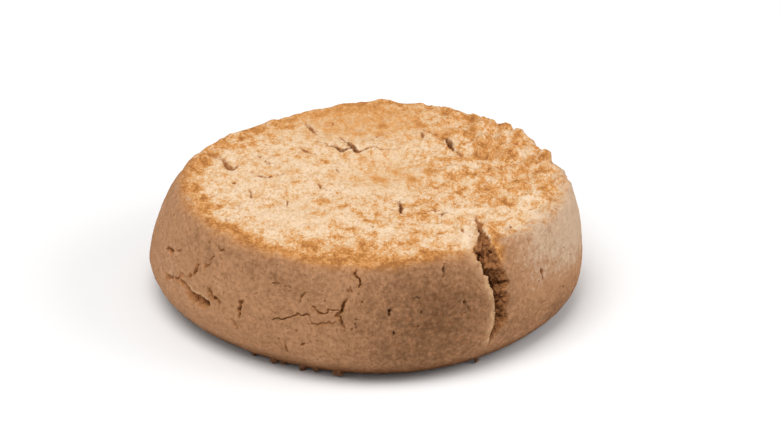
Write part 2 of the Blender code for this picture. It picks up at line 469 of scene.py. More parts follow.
@dataclass(frozen=True)
class Crack:
    """A crack in the skin, which follows its notches.

    Attributes:
        side: The side that its notches are on.
        notches: Its course.
        more: The rest of a course that goes on down the wall.
        lean: How far its bottom leans under its steep lip, as a share of its depth.
        lip_height: How far its steep lip stands up.
        torn: Whether it is the deep split, with a rough broken inside.
        broken: Whether it nearly closes here and there.
        ragged: How ragged its edges are, from 0 to 1.
        crack_shade: How much painted shade it has inside, as a share of the usual.
    """

    side: Side
    notches: tuple[Notch, ...]
    more: tuple[Notch, ...] = ()
    lean: float = 0.0
    lip_height: float = 0.0
    torn: bool = False
    broken: bool = True
    ragged: float = 0.6
    crack_shade: float = 1.0

    BEYOND = 4.0 * MM
    LIP_REACH = 0.6 * MM
    TORN_LIP_REACH = 2.0 * MM
    LUMP_SIZE = 1.8 * MM
    LUMP_SHARE = 0.25
    # The painted shade inside a small crack, and how far past its edges it reaches.
    DARKNESS = 0.8
    SHADE_MARGIN = 0.25 * MM
    # A torn split's width wanders by this share, over this distance.
    TORN_WANDER = 0.18
    TORN_WANDER_SIZE = 1.6 * MM
    # The distances over which a small crack narrows and gets shallow.
    PINCH_SIZE = 1.1 * MM
    SHALLOW_SIZE = 1.2 * MM
    # The exponents of the bottom: 1 is a V, and more is flatter.
    TORN_BOTTOM = 3.0
    CRACK_BOTTOM = 1.4
    # How deep the split has to be to look torn all over.
    TORN_FROM = 0.8 * MM

    def course(self, form: Form) -> list[tuple[Notch, Array]]:
        """The notches with their places on the skin."""
        found = [(notch, form.on_side(self.side, notch.across, notch.along)) for notch in self.notches]
        return found + [(notch, form.on_side(Side.WALL, notch.across, notch.along)) for notch in self.more]

    def cut_into(self, cut: Cut, form: Form, places: Array, normals: Array) -> None:
        """Adds what this crack does to each place.

        Args:
            cut: What is cut so far, which this changes.
            form: The cookie's form.
            places: One place for each row, already set trembling, so that the crack's edges are.
            normals: The way out of the skin at each place.
        """
        course = self.course(form)
        reach = max(notch.width for notch, _ in course) * MM + self.BEYOND
        ends = np.array([place for _, place in course])
        inside = (places > ends.min(0) - reach) & (places < ends.max(0) + reach)
        near = np.flatnonzero(np.all(inside, axis=1))
        if not len(near):
            return
        at, out = places[near], normals[near]
        best = np.full(len(near), 1.0)
        across = np.zeros(len(near))
        aside = np.zeros((len(near), 3))
        half, depth, deepest = np.ones(len(near)), np.zeros(len(near)), np.zeros(len(near))
        for (first, start), (second, end) in zip(course, course[1:]):
            onward = end - start
            along = np.clip((at - start) @ onward / (onward @ onward), 0.0, 1.0)
            offset = at - start - along[:, None] * onward
            sideways = np.cross(out, onward / np.linalg.norm(onward))
            sideways /= np.maximum(np.linalg.norm(sideways, axis=1, keepdims=True), 1e-6)
            distance = np.linalg.norm(offset - (offset * out).sum(1, keepdims=True) * out, axis=1)
            nearer = distance < best
            best = np.where(nearer, distance, best)
            sign = np.sign((offset * sideways).sum(1))
            across = np.where(nearer, sign * distance, across)
            aside = np.where(nearer[:, None], sideways, aside)
            half = np.where(nearer, between(first.width, second.width, along) * MM / 2, half)
            depth = np.where(nearer, between(first.depth, second.depth, along) * MM, depth)
            deepest = np.where(nearer, between(first.deepest, second.deepest, along), deepest)
        if self.torn:
            half *= 1.0 + self.TORN_WANDER * grain_at(at, self.TORN_WANDER_SIZE, 12.0)
        if self.broken:
            # A small crack narrows and nearly closes here and there.
            # Its first notch's place shifts the noise, so that each crack is its own.
            head = self.notches[0]
            half *= np.clip(1.15 + 1.5 * grain_at(at, self.PINCH_SIZE, head.across), 0.35, 2.0)
            depth *= 0.12 + 0.88 * eased(grain_at(at, self.SHALLOW_SIZE, head.along), -0.3, 0.1)
        ratio = across / half
        right = np.where(ratio > deepest, (ratio - deepest) / (1.0 - deepest), 0.0)
        off_bottom = np.clip(np.where(ratio < deepest, (deepest - ratio) / (1.0 + deepest), right), 0.0, 1.0)
        sink = depth * (1.0 - off_bottom ** (self.TORN_BOTTOM if self.torn else self.CRACK_BOTTOM))
        if self.torn:
            lumps = grain_at(at, self.LUMP_SIZE, 3.0) + 0.5 * grain_at(at, self.LUMP_SIZE / 2, 5.0)
            sink *= np.clip(1.0 - self.LUMP_SHARE * np.clip(lumps, -0.3, 1.0) * off_bottom**0.5, 0.15, 1.3)
            # The split's lip stands on its left alone.
            steep = np.where(ratio < 0, 1.0, 0.15)
        else:
            steep = np.where((ratio * np.sign(deepest + 1e-9) > 0) | (np.abs(deepest) < 0.2), 1.0, 0.25)
        outside = np.abs(across) - half
        lip_reach = self.TORN_LIP_REACH if self.torn else self.LIP_REACH
        # The lip is raised, and the same mask carries a painted highlight along it.
        lip = hill(np.maximum(outside, 0.0), lip_reach) * (sink <= 0) * steep
        strength = share(depth, 0.0, 1.0 * MM) if self.lip_height else 0.0
        deeper = sink > cut.sink[near]
        cut.shift[near] = np.where(deeper[:, None], -aside * (self.lean * sink)[:, None], cut.shift[near])
        cut.sink[near] = np.maximum(cut.sink[near], sink)
        cut.sink[near] -= self.lip_height * lip * strength
        cut.gap[near] = np.minimum(cut.gap[near], np.maximum(outside, 0.0))
        cut.lip[near] = np.maximum(cut.lip[near], lip * strength)
        if self.torn:
            cut.torn[near] = np.maximum(cut.torn[near], share(sink, 0.0, self.TORN_FROM))
            return
        # Painted shade inside the crack, darker where it is deeper, reaching a little past its edges.
        darkness = self.DARKNESS * share(depth, 0.0, 0.7 * MM) + 0.8 * share(sink, 0.3 * MM, 3.4 * MM)
        shaded = self.crack_shade * share(outside, self.SHADE_MARGIN, -np.maximum(0.9 * half, self.SHADE_MARGIN))
        cut.cleft_shade[near] = np.maximum(cut.cleft_shade[near], darkness * shaded)


@dataclass(frozen=True)
class Pit:
    """A small round hole in the skin, in millimetres.

    Attributes:
        side: The side that it is on.
        across: X on the top, or the azimuth in degrees on the wall.
        along: Y on the top, or the height on the wall.
        radius: Its radius.
        depth: Its depth.
    """

    side: Side
    across: float
    along: float
    radius: float = 0.35
    depth: float = 0.45

    def cut_into(self, cut: Cut, form: Form, places: Array) -> None:
        """Adds what this pit does to each place.

        Args:
            cut: What is cut so far, which this changes.
            form: The cookie's form.
            places: One place for each row.
        """
        centre = form.on_side(self.side, self.across, self.along)
        distance = np.linalg.norm(places - centre, axis=1)
        radius = self.radius * MM
        sink = self.depth * MM * (1.0 - share(distance, 0.0, radius) ** 2)
        cut.sink = np.maximum(cut.sink, sink)
        cut.gap = np.minimum(cut.gap, np.maximum(distance - radius, 0.0))
        # Painted shade in the pit, darker the deeper it goes.
        darkness = 0.8 * share(sink, 0.0, 0.5 * MM) + 1.0 * share(sink, 1.0 * MM, 3.5 * MM)
        cut.cleft_shade = np.maximum(cut.cleft_shade, darkness)


SPLIT = Crack(
    Side.TOP,
    (
        Notch(17.0, -11.2, 0.4, 0.3, 0.0),
        Notch(17.3, -13.6, 0.9, 0.8, 0.1),
        Notch(17.7, -15.8, 1.4, 1.6, 0.0),
        Notch(18.1, -18.2, 1.6, 1.2, 0.2),
        Notch(18.2, -20.0, 2.1, 2.4, 0.4),
        Notch(18.0, -22.4, 3.1, 4.4, 0.45),
        Notch(18.2, -24.1, 3.9, 4.8, 0.3),
    ),
    more=(
        Notch(307.3, 18.3, 3.8, 2.2, -0.2),
        Notch(308.1, 16.4, 3.8, 2.6, -0.6),
        Notch(308.6, 15.2, 3.4, 4.4, -0.7),
        Notch(309.6, 14.0, 3.8, 4.8, -0.5),
        Notch(309.2, 12.9, 2.7, 4.6, -0.6),
        Notch(309.7, 11.8, 3.2, 4.4, -0.7),
        Notch(309.3, 10.2, 2.5, 4.0, -0.7),
        Notch(309.2, 8.6, 2.6, 3.8, -0.7),
        Notch(308.3, 7.5, 2.3, 3.0, -0.7),
        Notch(307.0, 7.0, 1.7, 2.2, -0.4),
        Notch(305.8, 5.6, 0.8, 1.2, 0.0),
        Notch(305.2, 4.6, 0.25, 0.3, 0.0),
    ),
    lean=0.22,
    lip_height=0.07 * MM,
    torn=True,
    broken=False,
)

TOP_CRACKS = {
    "left arc": (Notch(-27.6, 10.2, 0.5, 0.3), Notch(-26.2, 9.0, 0.8, 0.4), Notch(-25.0, 7.5, 0.8, 0.4),
                 Notch(-24.0, 5.3, 0.9, 0.5), Notch(-23.1, 4.2, 1.1, 0.7), Notch(-22.3, 5.7, 0.4, 0.4)),
    "back left tear": (
        Notch(-11.9, 22.2, 0.3, 0.4), Notch(-10.7, 20.3, 0.5, 0.6), Notch(-9.2, 18.0, 0.4, 0.4)),
    "back left crease": (
        Notch(-9.2, 14.6, 0.3, 0.3), Notch(-7.4, 13.1, 0.4, 0.4), Notch(-6.0, 12.0, 0.5, 0.8),
        Notch(-5.3, 11.6, 0.8, 1.2), Notch(-3.4, 11.9, 0.35, 0.3)),
    "back tear": (Notch(-5.7, 16.9, 0.3, 0.3), Notch(-4.6, 15.0, 0.4, 0.5), Notch(-3.8, 13.5, 0.5, 0.8),
                  Notch(-3.3, 12.4, 0.7, 1.2), Notch(-2.9, 11.0, 0.9, 1.3)),
    "back crease": (Notch(-2.4, 10.9, 0.6, 0.6), Notch(-0.4, 12.1, 0.3, 0.3), Notch(2.5, 12.2, 0.25, 0.25),
                    Notch(4.4, 12.6, 0.2, 0.2)),
    "back right tear": (
        Notch(8.5, 19.9, 0.4, 0.3), Notch(10.1, 18.6, 0.5, 0.3), Notch(12.0, 17.2, 0.6, 0.3),
        Notch(12.8, 15.9, 1.2, 1.4), Notch(13.0, 14.0, 1.3, 1.5), Notch(13.7, 12.5, 0.4, 0.4),
        Notch(14.8, 10.2, 0.4, 0.4)),
    "right nick": (Notch(16.8, 11.2, 0.5, 0.4), Notch(18.0, 10.4, 0.9, 0.8), Notch(19.3, 9.5, 0.5, 0.4)),
    "front nick": (Notch(4.0, -6.1, 0.4, 0.4), Notch(5.1, -8.6, 0.9, 1.2), Notch(4.9, -10.8, 0.4, 0.4)),
    "left nick": (Notch(-16.8, 1.0, 0.6, 0.7), Notch(-15.8, 1.8, 0.6, 0.7), Notch(-14.7, 2.7, 0.3, 0.3)),
    "left hair": (Notch(-19.9, 3.3, 0.3, 0.3), Notch(-18.6, 1.8, 0.4, 0.4), Notch(-17.3, 1.1, 0.4, 0.4)),
    "left hair behind": (
        Notch(-19.4, 10.0, 0.3, 0.3), Notch(-18.5, 8.5, 0.4, 0.4), Notch(-17.4, 5.9, 0.4, 0.4)),
    "left hair before": (Notch(-20.0, -3.3, 0.3, 0.3), Notch(-19.4, -6.0, 0.4, 0.4)),
    "left hair in front": (Notch(-14.0, -6.1, 0.3, 0.3), Notch(-13.6, -7.9, 0.4, 0.4),
                           Notch(-13.2, -9.8, 0.3, 0.3)),
    "right hair": (Notch(11.7, -11.3, 0.4, 0.5), Notch(11.3, -13.6, 0.4, 0.4)),
    "back hair": (Notch(-12.1, 12.5, 0.3, 0.3), Notch(-10.9, 11.0, 0.5, 0.5), Notch(-9.5, 10.3, 0.4, 0.4)),
}

WALL_CRACKS = {
    "far left hair": (
        Notch(199.0, 12.3, 0.5, 0.5), Notch(203.2, 12.7, 0.9, 0.7), Notch(206.6, 14.4, 0.4, 0.4)),
    "left hair": (Notch(216.6, 14.7, 0.5, 0.5), Notch(215.8, 13.3, 0.8, 0.7), Notch(214.4, 11.6, 0.6, 0.5)),
    "left rim hair": (
        Notch(220.2, 16.5, 0.4, 0.4), Notch(219.4, 15.2, 0.7, 0.7), Notch(218.4, 14.2, 0.4, 0.4)),
    "left low tear": (
        Notch(203.9, 8.8, 0.8, 0.6), Notch(208.8, 9.6, 1.1, 0.8), Notch(212.4, 10.9, 0.5, 0.5)),
    "left dip": (Notch(222.7, 11.1, 0.8, 0.7), Notch(225.0, 10.4, 0.8, 0.7), Notch(227.4, 9.7, 0.6, 0.5)),
    "rim hair": (Notch(217.0, 18.2, 0.5, 0.5), Notch(220.3, 17.9, 0.7, 0.7), Notch(223.4, 17.6, 0.5, 0.5)),
    "front left slit": (
        Notch(234.1, 11.3, 0.4, 0.6), Notch(234.3, 9.9, 0.7, 1.1), Notch(234.6, 8.6, 0.4, 0.5)),
    "front left hair": (Notch(232.6, 8.2, 0.4, 0.5), Notch(234.6, 6.5, 0.4, 0.5)),
    "upper hair": (
        Notch(241.5, 15.9, 0.35, 0.35), Notch(244.3, 15.8, 0.4, 0.4), Notch(247.4, 15.9, 0.3, 0.3)),
    "front hair": (Notch(244.8, 10.1, 0.4, 0.4), Notch(247.2, 10.7, 0.5, 0.6), Notch(249.5, 11.6, 0.4, 0.5),
                   Notch(254.2, 11.6, 0.4, 0.5)),
    "fork arm": (Notch(254.5, 13.4, 0.3, 0.4), Notch(256.6, 12.7, 0.4, 0.5), Notch(258.5, 12.9, 0.4, 0.5),
                 Notch(261.6, 13.2, 0.3, 0.4)),
    "fork": (Notch(264.2, 15.2, 0.3, 0.3), Notch(263.6, 14.3, 0.6, 0.7), Notch(262.8, 13.5, 0.95, 1.1),
             Notch(262.2, 12.6, 0.4, 0.5), Notch(263.3, 11.5, 0.5, 0.6), Notch(264.2, 10.5, 0.35, 0.4)),
    "fork side": (Notch(266.3, 11.6, 0.4, 0.5), Notch(267.0, 10.6, 0.4, 0.5)),
    "rim slit": (Notch(265.4, 19.1, 0.4, 0.7), Notch(266.0, 18.6, 0.4, 0.7), Notch(266.9, 17.8, 0.4, 0.6),
                 Notch(266.6, 17.0, 0.3, 0.5)),
    "front drip": (Notch(264.2, 17.2, 0.4, 0.4), Notch(264.2, 16.0, 0.4, 0.4)),
    "low hair": (Notch(248.4, 6.9, 0.4, 0.4), Notch(249.0, 6.0, 0.5, 0.6), Notch(249.6, 5.0, 0.35, 0.4)),
    "right rim slit": (
        Notch(292.3, 19.1, 0.4, 0.5), Notch(291.5, 18.5, 0.6, 0.6), Notch(290.9, 17.4, 0.4, 0.4)),
    "right hair": (Notch(297.2, 13.0, 0.6, 0.6), Notch(297.5, 11.9, 0.5, 0.5)),
    "far right slit": (
        Notch(326.2, 13.4, 0.4, 0.4), Notch(325.8, 11.8, 0.6, 0.7), Notch(326.0, 10.1, 0.4, 0.4)),
    "right faint hair": (
        Notch(284.1, 15.4, 0.3, 0.3), Notch(282.5, 14.9, 0.4, 0.3), Notch(281.1, 14.2, 0.3, 0.3)),
    "fork foot": (Notch(254.6, 10.9, 0.3, 0.3), Notch(258.2, 10.7, 0.4, 0.45), Notch(261.9, 11.3, 0.3, 0.3)),
    "front nib": (Notch(250.6, 13.9, 0.4, 0.4), Notch(251.2, 14.8, 0.5, 0.5), Notch(253.0, 15.1, 0.3, 0.3)),
}

# The cracks that stay open all along.
WHOLE = (
    "left arc", "back left tear", "back left crease", "back tear", "back crease", "back right tear",
    "front nick", "front left slit", "front hair", "fork", "fork arm", "fork foot", "rim slit")

FLAKE = Crack(
    Side.WALL,
    (Notch(212.0, 9.9, 0.8, 0.5, 0.5), Notch(214.2, 9.2, 1.4, 0.9, 0.5), Notch(217.8, 8.7, 1.7, 1.2, 0.5),
     Notch(220.8, 8.6, 1.7, 1.3, 0.5), Notch(223.4, 9.0, 1.1, 1.1, 0.5)),
    lip_height=0.15 * MM,
    broken=False,
    ragged=0.35,
    crack_shade=0.95,
)

PITS = (
    Pit(Side.TOP, 18.9, -22.3, 1.5, 5.6),
    Pit(Side.TOP, -22.6, -0.8, 0.45, 0.6),
    Pit(Side.WALL, 251.8, 9.1, 0.35, 0.5), Pit(Side.WALL, 253.8, 7.0, 0.4, 0.5), Pit(Side.WALL, 266.0, 10.2),
    Pit(Side.WALL, 266.5, 12.0, 0.3), Pit(Side.WALL, 276.0, 13.1, 0.45, 0.9),
    Pit(Side.WALL, 275.6, 12.5, 0.4, 0.8),
    Pit(Side.WALL, 277.5, 9.8, 0.35, 0.7), Pit(Side.WALL, 284.5, 12.7), Pit(Side.WALL, 296.5, 11.2),
    Pit(Side.WALL, 324.5, 7.8), Pit(Side.WALL, 241.8, 12.9, 0.3), Pit(Side.WALL, 230.5, 12.2, 0.3),
)


@dataclass(frozen=True)
class Patch:
    """A toasted patch of the top, in millimetres.

    Attributes:
        across: X of its middle.
        along: Y of its middle.
        width: How far it reaches along its own length.
        breadth: How far it reaches across that.
        strength: How brown it is, below 0 for a pale patch.
        turn: The way its length lies, in degrees from +X.
    """

    across: float
    along: float
    width: float
    breadth: float
    strength: float
    turn: float = 0.0

    def over(self, places: Array) -> Array:
        """How much of the patch lies at each place, times its strength."""
        x, y = places[:, 0] - self.across * MM, places[:, 1] - self.along * MM
        turn = math.radians(self.turn)
        long = (x * math.cos(turn) + y * math.sin(turn)) / (self.width * MM)
        short = (y * math.cos(turn) - x * math.sin(turn)) / (self.breadth * MM)
        return self.strength * hill(np.hypot(long, short))


PATCHES = (
    # Browner at the back, in the dish, and along the back edge.
    Patch(0.0, 25.0, 30.0, 14.0, 0.45), Patch(2.0, 4.0, 13.0, 11.0, 0.22),
    Patch(-20.0, 17.0, 11.0, 6.0, 0.25, 40.0),
    # The right half and the front, browner all over.
    Patch(20.0, 4.0, 16.0, 19.0, 0.36), Patch(-3.0, -27.0, 24.0, 8.8, 0.75),
    Patch(19.0, 14.0, 9.0, 9.0, 0.25), Patch(6.0, -13.0, 12.0, 9.0, 0.22),
    # Brown places along the left and front edge.
    Patch(-28.5, 6.0, 3.4, 2.8, 0.7, 80.0), Patch(-28.8, -3.0, 3.2, 1.6, 0.45, 100.0),
    Patch(-26.9, -6.5, 2.6, 1.4, 0.5, 60.0), Patch(-25.8, -9.6, 3.0, 1.9, 0.75, -10.0),
    Patch(-23.4, -16.5, 5.0, 2.4, 0.6, 135.0), Patch(-19.0, -21.0, 5.0, 2.6, 0.6, 140.0),
    Patch(-15.5, -24.0, 4.0, 2.2, 0.45, 160.0), Patch(-9.3, -22.3, 2.8, 2.2, 0.75, 60.0),
    Patch(-12.4, -20.6, 2.4, 1.5, 0.4, 90.0), Patch(-9.4, -26.8, 2.8, 1.8, 0.6),
    Patch(-4.2, -24.4, 2.2, 2.2, 0.55), Patch(-1.4, -21.6, 2.4, 1.8, 0.5, 70.0),
    Patch(-0.2, -27.4, 2.6, 1.6, 0.4), Patch(6.6, -21.4, 2.4, 2.4, 0.6, 80.0),
    Patch(8.4, -24.2, 2.4, 1.4, 0.5, 20.0), Patch(6.0, -27.4, 1.8, 1.4, 0.4),
    Patch(12.8, -21.2, 2.0, 1.4, 0.5, 60.0), Patch(14.5, -24.5, 3.0, 1.6, 0.35),
    # Brown places in the mottled band behind it.
    Patch(-3.2, -17.0, 2.0, 1.6, 0.5, 40.0), Patch(-6.0, -19.2, 2.4, 1.2, 0.45),
    Patch(-16.8, -16.4, 3.6, 2.0, 0.3), Patch(0.2, -18.6, 1.8, 1.6, 0.5),
    Patch(8.2, -17.8, 2.0, 1.7, 0.75), Patch(5.6, -12.0, 2.4, 1.8, 0.5, 30.0),
    Patch(8.8, -11.8, 2.2, 1.8, 0.45), Patch(11.5, -17.6, 1.6, 1.2, 0.4),
    Patch(-0.6, -14.0, 1.8, 1.2, 0.4), Patch(-8.0, -7.0, 3.0, 2.0, 0.42, 10.0),
    Patch(-4.6, -9.2, 1.9, 1.3, 0.55, 20.0), Patch(-8.4, -11.8, 2.0, 1.4, 0.42),
    Patch(-9.6, -9.6, 2.0, 1.5, 0.3), Patch(-18.4, -6.6, 2.6, 1.4, 0.3, 100.0),
    Patch(7.6, -7.2, 3.6, 2.2, 0.42, 20.0), Patch(10.6, -8.6, 2.6, 1.6, 0.4, 60.0),
    # Brown places on the right half.
    Patch(22.2, -6.8, 2.0, 2.4, 0.95), Patch(18.4, -5.6, 3.6, 2.2, 0.55), Patch(11.4, -1.2, 2.2, 2.2, 0.6),
    Patch(14.6, -2.2, 2.4, 1.6, 0.45, 30.0), Patch(19.6, -2.6, 3.4, 1.8, 0.45),
    Patch(24.0, -1.2, 2.2, 1.4, 0.4, 40.0), Patch(28.4, -2.6, 1.5, 2.6, 0.65),
    Patch(29.6, -6.2, 1.1, 2.0, 0.55), Patch(23.4, -12.8, 1.8, 1.3, 0.5),
    Patch(25.4, -14.2, 1.1, 1.4, 0.6), Patch(20.6, -14.6, 1.8, 1.6, 0.5),
    Patch(20.4, -20.0, 1.9, 4.4, 0.95), Patch(19.6, -16.4, 1.5, 3.4, 0.7),
    Patch(21.2, -23.6, 1.8, 2.8, 0.9), Patch(23.0, -17.0, 1.6, 1.4, 0.3), Patch(9.6, 4.4, 1.9, 1.7, 0.75),
    Patch(6.6, 2.0, 1.4, 2.0, 0.7), Patch(1.4, 2.4, 1.5, 2.6, 0.5, 60.0), Patch(13.2, 1.4, 1.6, 1.4, 0.4),
    Patch(21.2, 3.6, 2.6, 1.6, 0.5, 20.0), Patch(28.4, 4.2, 2.2, 2.6, 0.8),
    Patch(27.0, 8.4, 3.0, 1.8, 0.5, 20.0), Patch(25.2, 5.8, 1.4, 2.6, 0.5),
    Patch(23.4, 1.0, 2.4, 1.2, 0.5), Patch(18.8, 5.4, 1.2, 2.6, 0.45),
    Patch(21.8, 11.4, 3.2, 2.4, 0.95, -10.0), Patch(18.4, 10.4, 2.6, 1.5, 0.85, -30.0),
    Patch(19.0, 14.6, 3.0, 1.8, 0.6, 10.0), Patch(28.0, 13.6, 2.0, 1.6, 0.5),
    Patch(15.8, 19.4, 3.4, 3.0, 0.55, -40.0), Patch(12.2, 17.6, 2.4, 2.0, 0.9, -45.0),
    Patch(8.2, 21.4, 2.0, 1.6, 0.85, -60.0), Patch(7.4, 23.2, 1.4, 1.2, 0.7, -60.0),
    Patch(11.4, 21.6, 1.6, 1.2, 0.5), Patch(16.8, 25.6, 1.9, 1.3, 1.0, -20.0),
    Patch(21.6, 23.4, 2.2, 1.3, 0.6, -50.0), Patch(25.4, 18.8, 2.6, 1.6, 0.35),
    Patch(13.2, 27.6, 1.6, 1.0, 0.45),
    # Brown places at the back and the left.
    Patch(1.6, 21.4, 1.2, 1.3, 0.8), Patch(1.2, 18.2, 1.2, 2.0, 0.4), Patch(4.2, 26.8, 1.2, 1.6, 0.35),
    Patch(-14.0, 23.4, 1.4, 1.3, 0.65), Patch(-16.6, 21.4, 1.2, 1.0, 0.7),
    Patch(-14.6, 20.2, 2.4, 1.2, 0.5), Patch(-19.2, 18.9, 1.8, 1.4, 0.65),
    Patch(-9.2, 26.0, 2.2, 1.2, 0.4, 30.0), Patch(-2.6, 18.4, 1.8, 1.2, 0.4),
    Patch(-23.4, 12.4, 3.0, 1.5, 0.65, 20.0), Patch(-21.6, 16.0, 2.2, 1.6, 0.35, 40.0),
    Patch(-26.9, 9.6, 2.0, 1.3, 0.7, -30.0), Patch(-7.4, 7.6, 3.0, 1.4, 0.42),
    Patch(-12.2, 8.8, 1.2, 1.2, 0.45), Patch(-17.6, 2.6, 2.0, 1.0, 0.4, -60.0),
    Patch(-12.6, -0.6, 1.4, 1.6, 0.3),
    # The pale dough on the left, beside the split, and between the brown places.
    Patch(-12.0, -13.5, 11.0, 4.6, -0.14), Patch(-18.0, -2.0, 9.0, 9.0, -0.08),
    Patch(-3.0, -2.0, 6.0, 6.0, -0.12), Patch(15.6, -18.5, 1.5, 5.6, -0.75),
    Patch(2.6, -16.6, 2.2, 1.8, -0.5), Patch(13.4, -10.4, 2.6, 1.8, -0.5, 20.0),
    Patch(5.8, -24.6, 1.6, 1.4, -0.5), Patch(11.2, -15.4, 2.4, 1.4, -0.4),
    Patch(17.2, 6.4, 1.6, 2.6, -0.6), Patch(19.8, 7.6, 1.2, 1.8, -0.4), Patch(25.6, 12.4, 1.9, 2.4, -0.7),
    Patch(22.6, 18.4, 2.8, 2.4, -0.35), Patch(26.6, -11.4, 3.0, 3.0, -0.4),
    Patch(25.4, -5.4, 1.6, 2.0, -0.4), Patch(16.6, -9.6, 2.2, 1.6, -0.4),
    Patch(16.0, 12.4, 1.6, 3.4, -0.3, -20.0),
)

# Where the mottling is faint: the dish, the back and the left.
CALM = (
    Patch(2.0, 3.5, 12.0, 11.0, 0.55), Patch(-2.0, 21.0, 22.0, 14.0, 0.6),
    Patch(-17.0, 3.0, 14.0, 14.0, 0.3), Patch(-12.0, -12.0, 10.0, 7.0, 0.4),
)


@dataclass(frozen=True)
class RimPlace:
    """How the pale crust of the top ends at one azimuth.

    Attributes:
        azimuth: The azimuth, in degrees.
        toast: How toasted the rim is.
        inset: How far inside the rim the crust ends, in millimetres, below 0 outside it.
        softness: The width over which it fades, in millimetres.
    """

    azimuth: float
    toast: float
    inset: float
    softness: float


RIM = (
    RimPlace(0.0, 0.2, 0.6, 5.0), RimPlace(20.0, 0.4, -0.8, 3.0), RimPlace(60.0, 0.3, -1.2, 3.0),
    RimPlace(90.0, 0.25, -1.2, 3.0), RimPlace(125.0, 0.3, -1.0, 3.0), RimPlace(145.0, 0.35, -1.0, 3.0),
    RimPlace(160.0, 0.5, -0.8, 3.5), RimPlace(180.0, 0.7, 0.0, 3.8), RimPlace(200.0, 0.9, 0.3, 3.8),
    RimPlace(220.0, 1.0, 0.3, 3.6), RimPlace(240.0, 0.95, 0.3, 3.4), RimPlace(262.0, 0.85, 0.3, 3.2),
    RimPlace(277.0, 0.85, 0.5, 3.4), RimPlace(288.0, 0.75, 1.2, 4.2), RimPlace(302.0, 0.5, 1.2, 4.2),
    RimPlace(307.0, 0.9, -3.8, 3.0), RimPlace(311.0, 0.9, -4.0, 3.0), RimPlace(316.0, 0.1, 1.8, 4.2),
    RimPlace(327.0, 0.05, 1.4, 5.0), RimPlace(342.0, 0.2, 1.0, 5.5),
)


@dataclass(frozen=True)
class WallToneAndShade:
    """A darker or paler part of the wall: partly its own tone, partly painted light and shade.

    Attributes:
        azimuth: The azimuth of its middle, in degrees.
        height: The height of its middle, in millimetres.
        spread: How far it reaches round, in degrees.
        rise: How far it reaches up and down, in millimetres.
        strength: How much darker it makes the wall, below 0 for a paler one.
    """

    azimuth: float
    height: float
    spread: float
    rise: float
    strength: float

    def over(self, azimuth: Array, places: Array) -> Array:
        """How much of the patch lies at each place, times its strength."""
        round_about = (azimuth - self.azimuth + 180.0) % 360.0 - 180.0
        up = (places[:, 2] / MM - self.height) / self.rise
        return self.strength * hill(np.hypot(round_about / self.spread, up))


# Partly the wall's own tone, partly painted light and shade: painted shade on the front and front right, a
# painted shadow under the left rim, painted light high on the far right and painted shade low on the right.
WALL_TONES_AND_SHADE = (
    WallToneAndShade(250.0, 10.0, 34.0, 18.0, 0.25), WallToneAndShade(288.0, 11.0, 32.0, 16.0, 1.1),
    WallToneAndShade(225.0, 16.5, 50.0, 4.5, 0.35),
    WallToneAndShade(352.0, 18.0, 50.0, 13.0, -1.0), WallToneAndShade(338.0, 4.0, 34.0, 8.5, 0.8),
    WallToneAndShade(314.0, 8.0, 12.0, 12.0, 0.4),
    WallToneAndShade(30.0, 12.0, 70.0, 16.0, -0.3), WallToneAndShade(110.0, 12.0, 60.0, 16.0, 0.1),
)


class Link:
    """A shader socket that takes part in expressions."""

    def __init__(self, graph: "Graph", socket: bpy.types.NodeSocket) -> None:
        """Wraps a socket of a graph."""
        self.graph = graph
        self.socket = socket

    def __add__(self, other: "Link | float") -> "Link":
        """The sum."""
        return self.graph.math("ADD", self, other)

    def __radd__(self, other: float) -> "Link":
        """The sum, with the number first."""
        return self.graph.math("ADD", other, self)

    def __sub__(self, other: "Link | float") -> "Link":
        """The difference."""
        return self.graph.math("SUBTRACT", self, other)

    def __rsub__(self, other: float) -> "Link":
        """The difference, with the number first."""
        return self.graph.math("SUBTRACT", other, self)

    def __mul__(self, other: "Link | float") -> "Link":
        """The product."""
        return self.graph.math("MULTIPLY", self, other)

    def __rmul__(self, other: float) -> "Link":
        """The product, with the number first."""
        return self.graph.math("MULTIPLY", other, self)

    def eased(self, low: float, high: float) -> "Link":
        """A soft step from 0 at low to 1 at high."""
        settings = {"interpolation_type": "SMOOTHSTEP"}
        sockets = {"Value": self, "From Min": low, "From Max": high}
        return self.graph.node("ShaderNodeMapRange", settings, sockets)


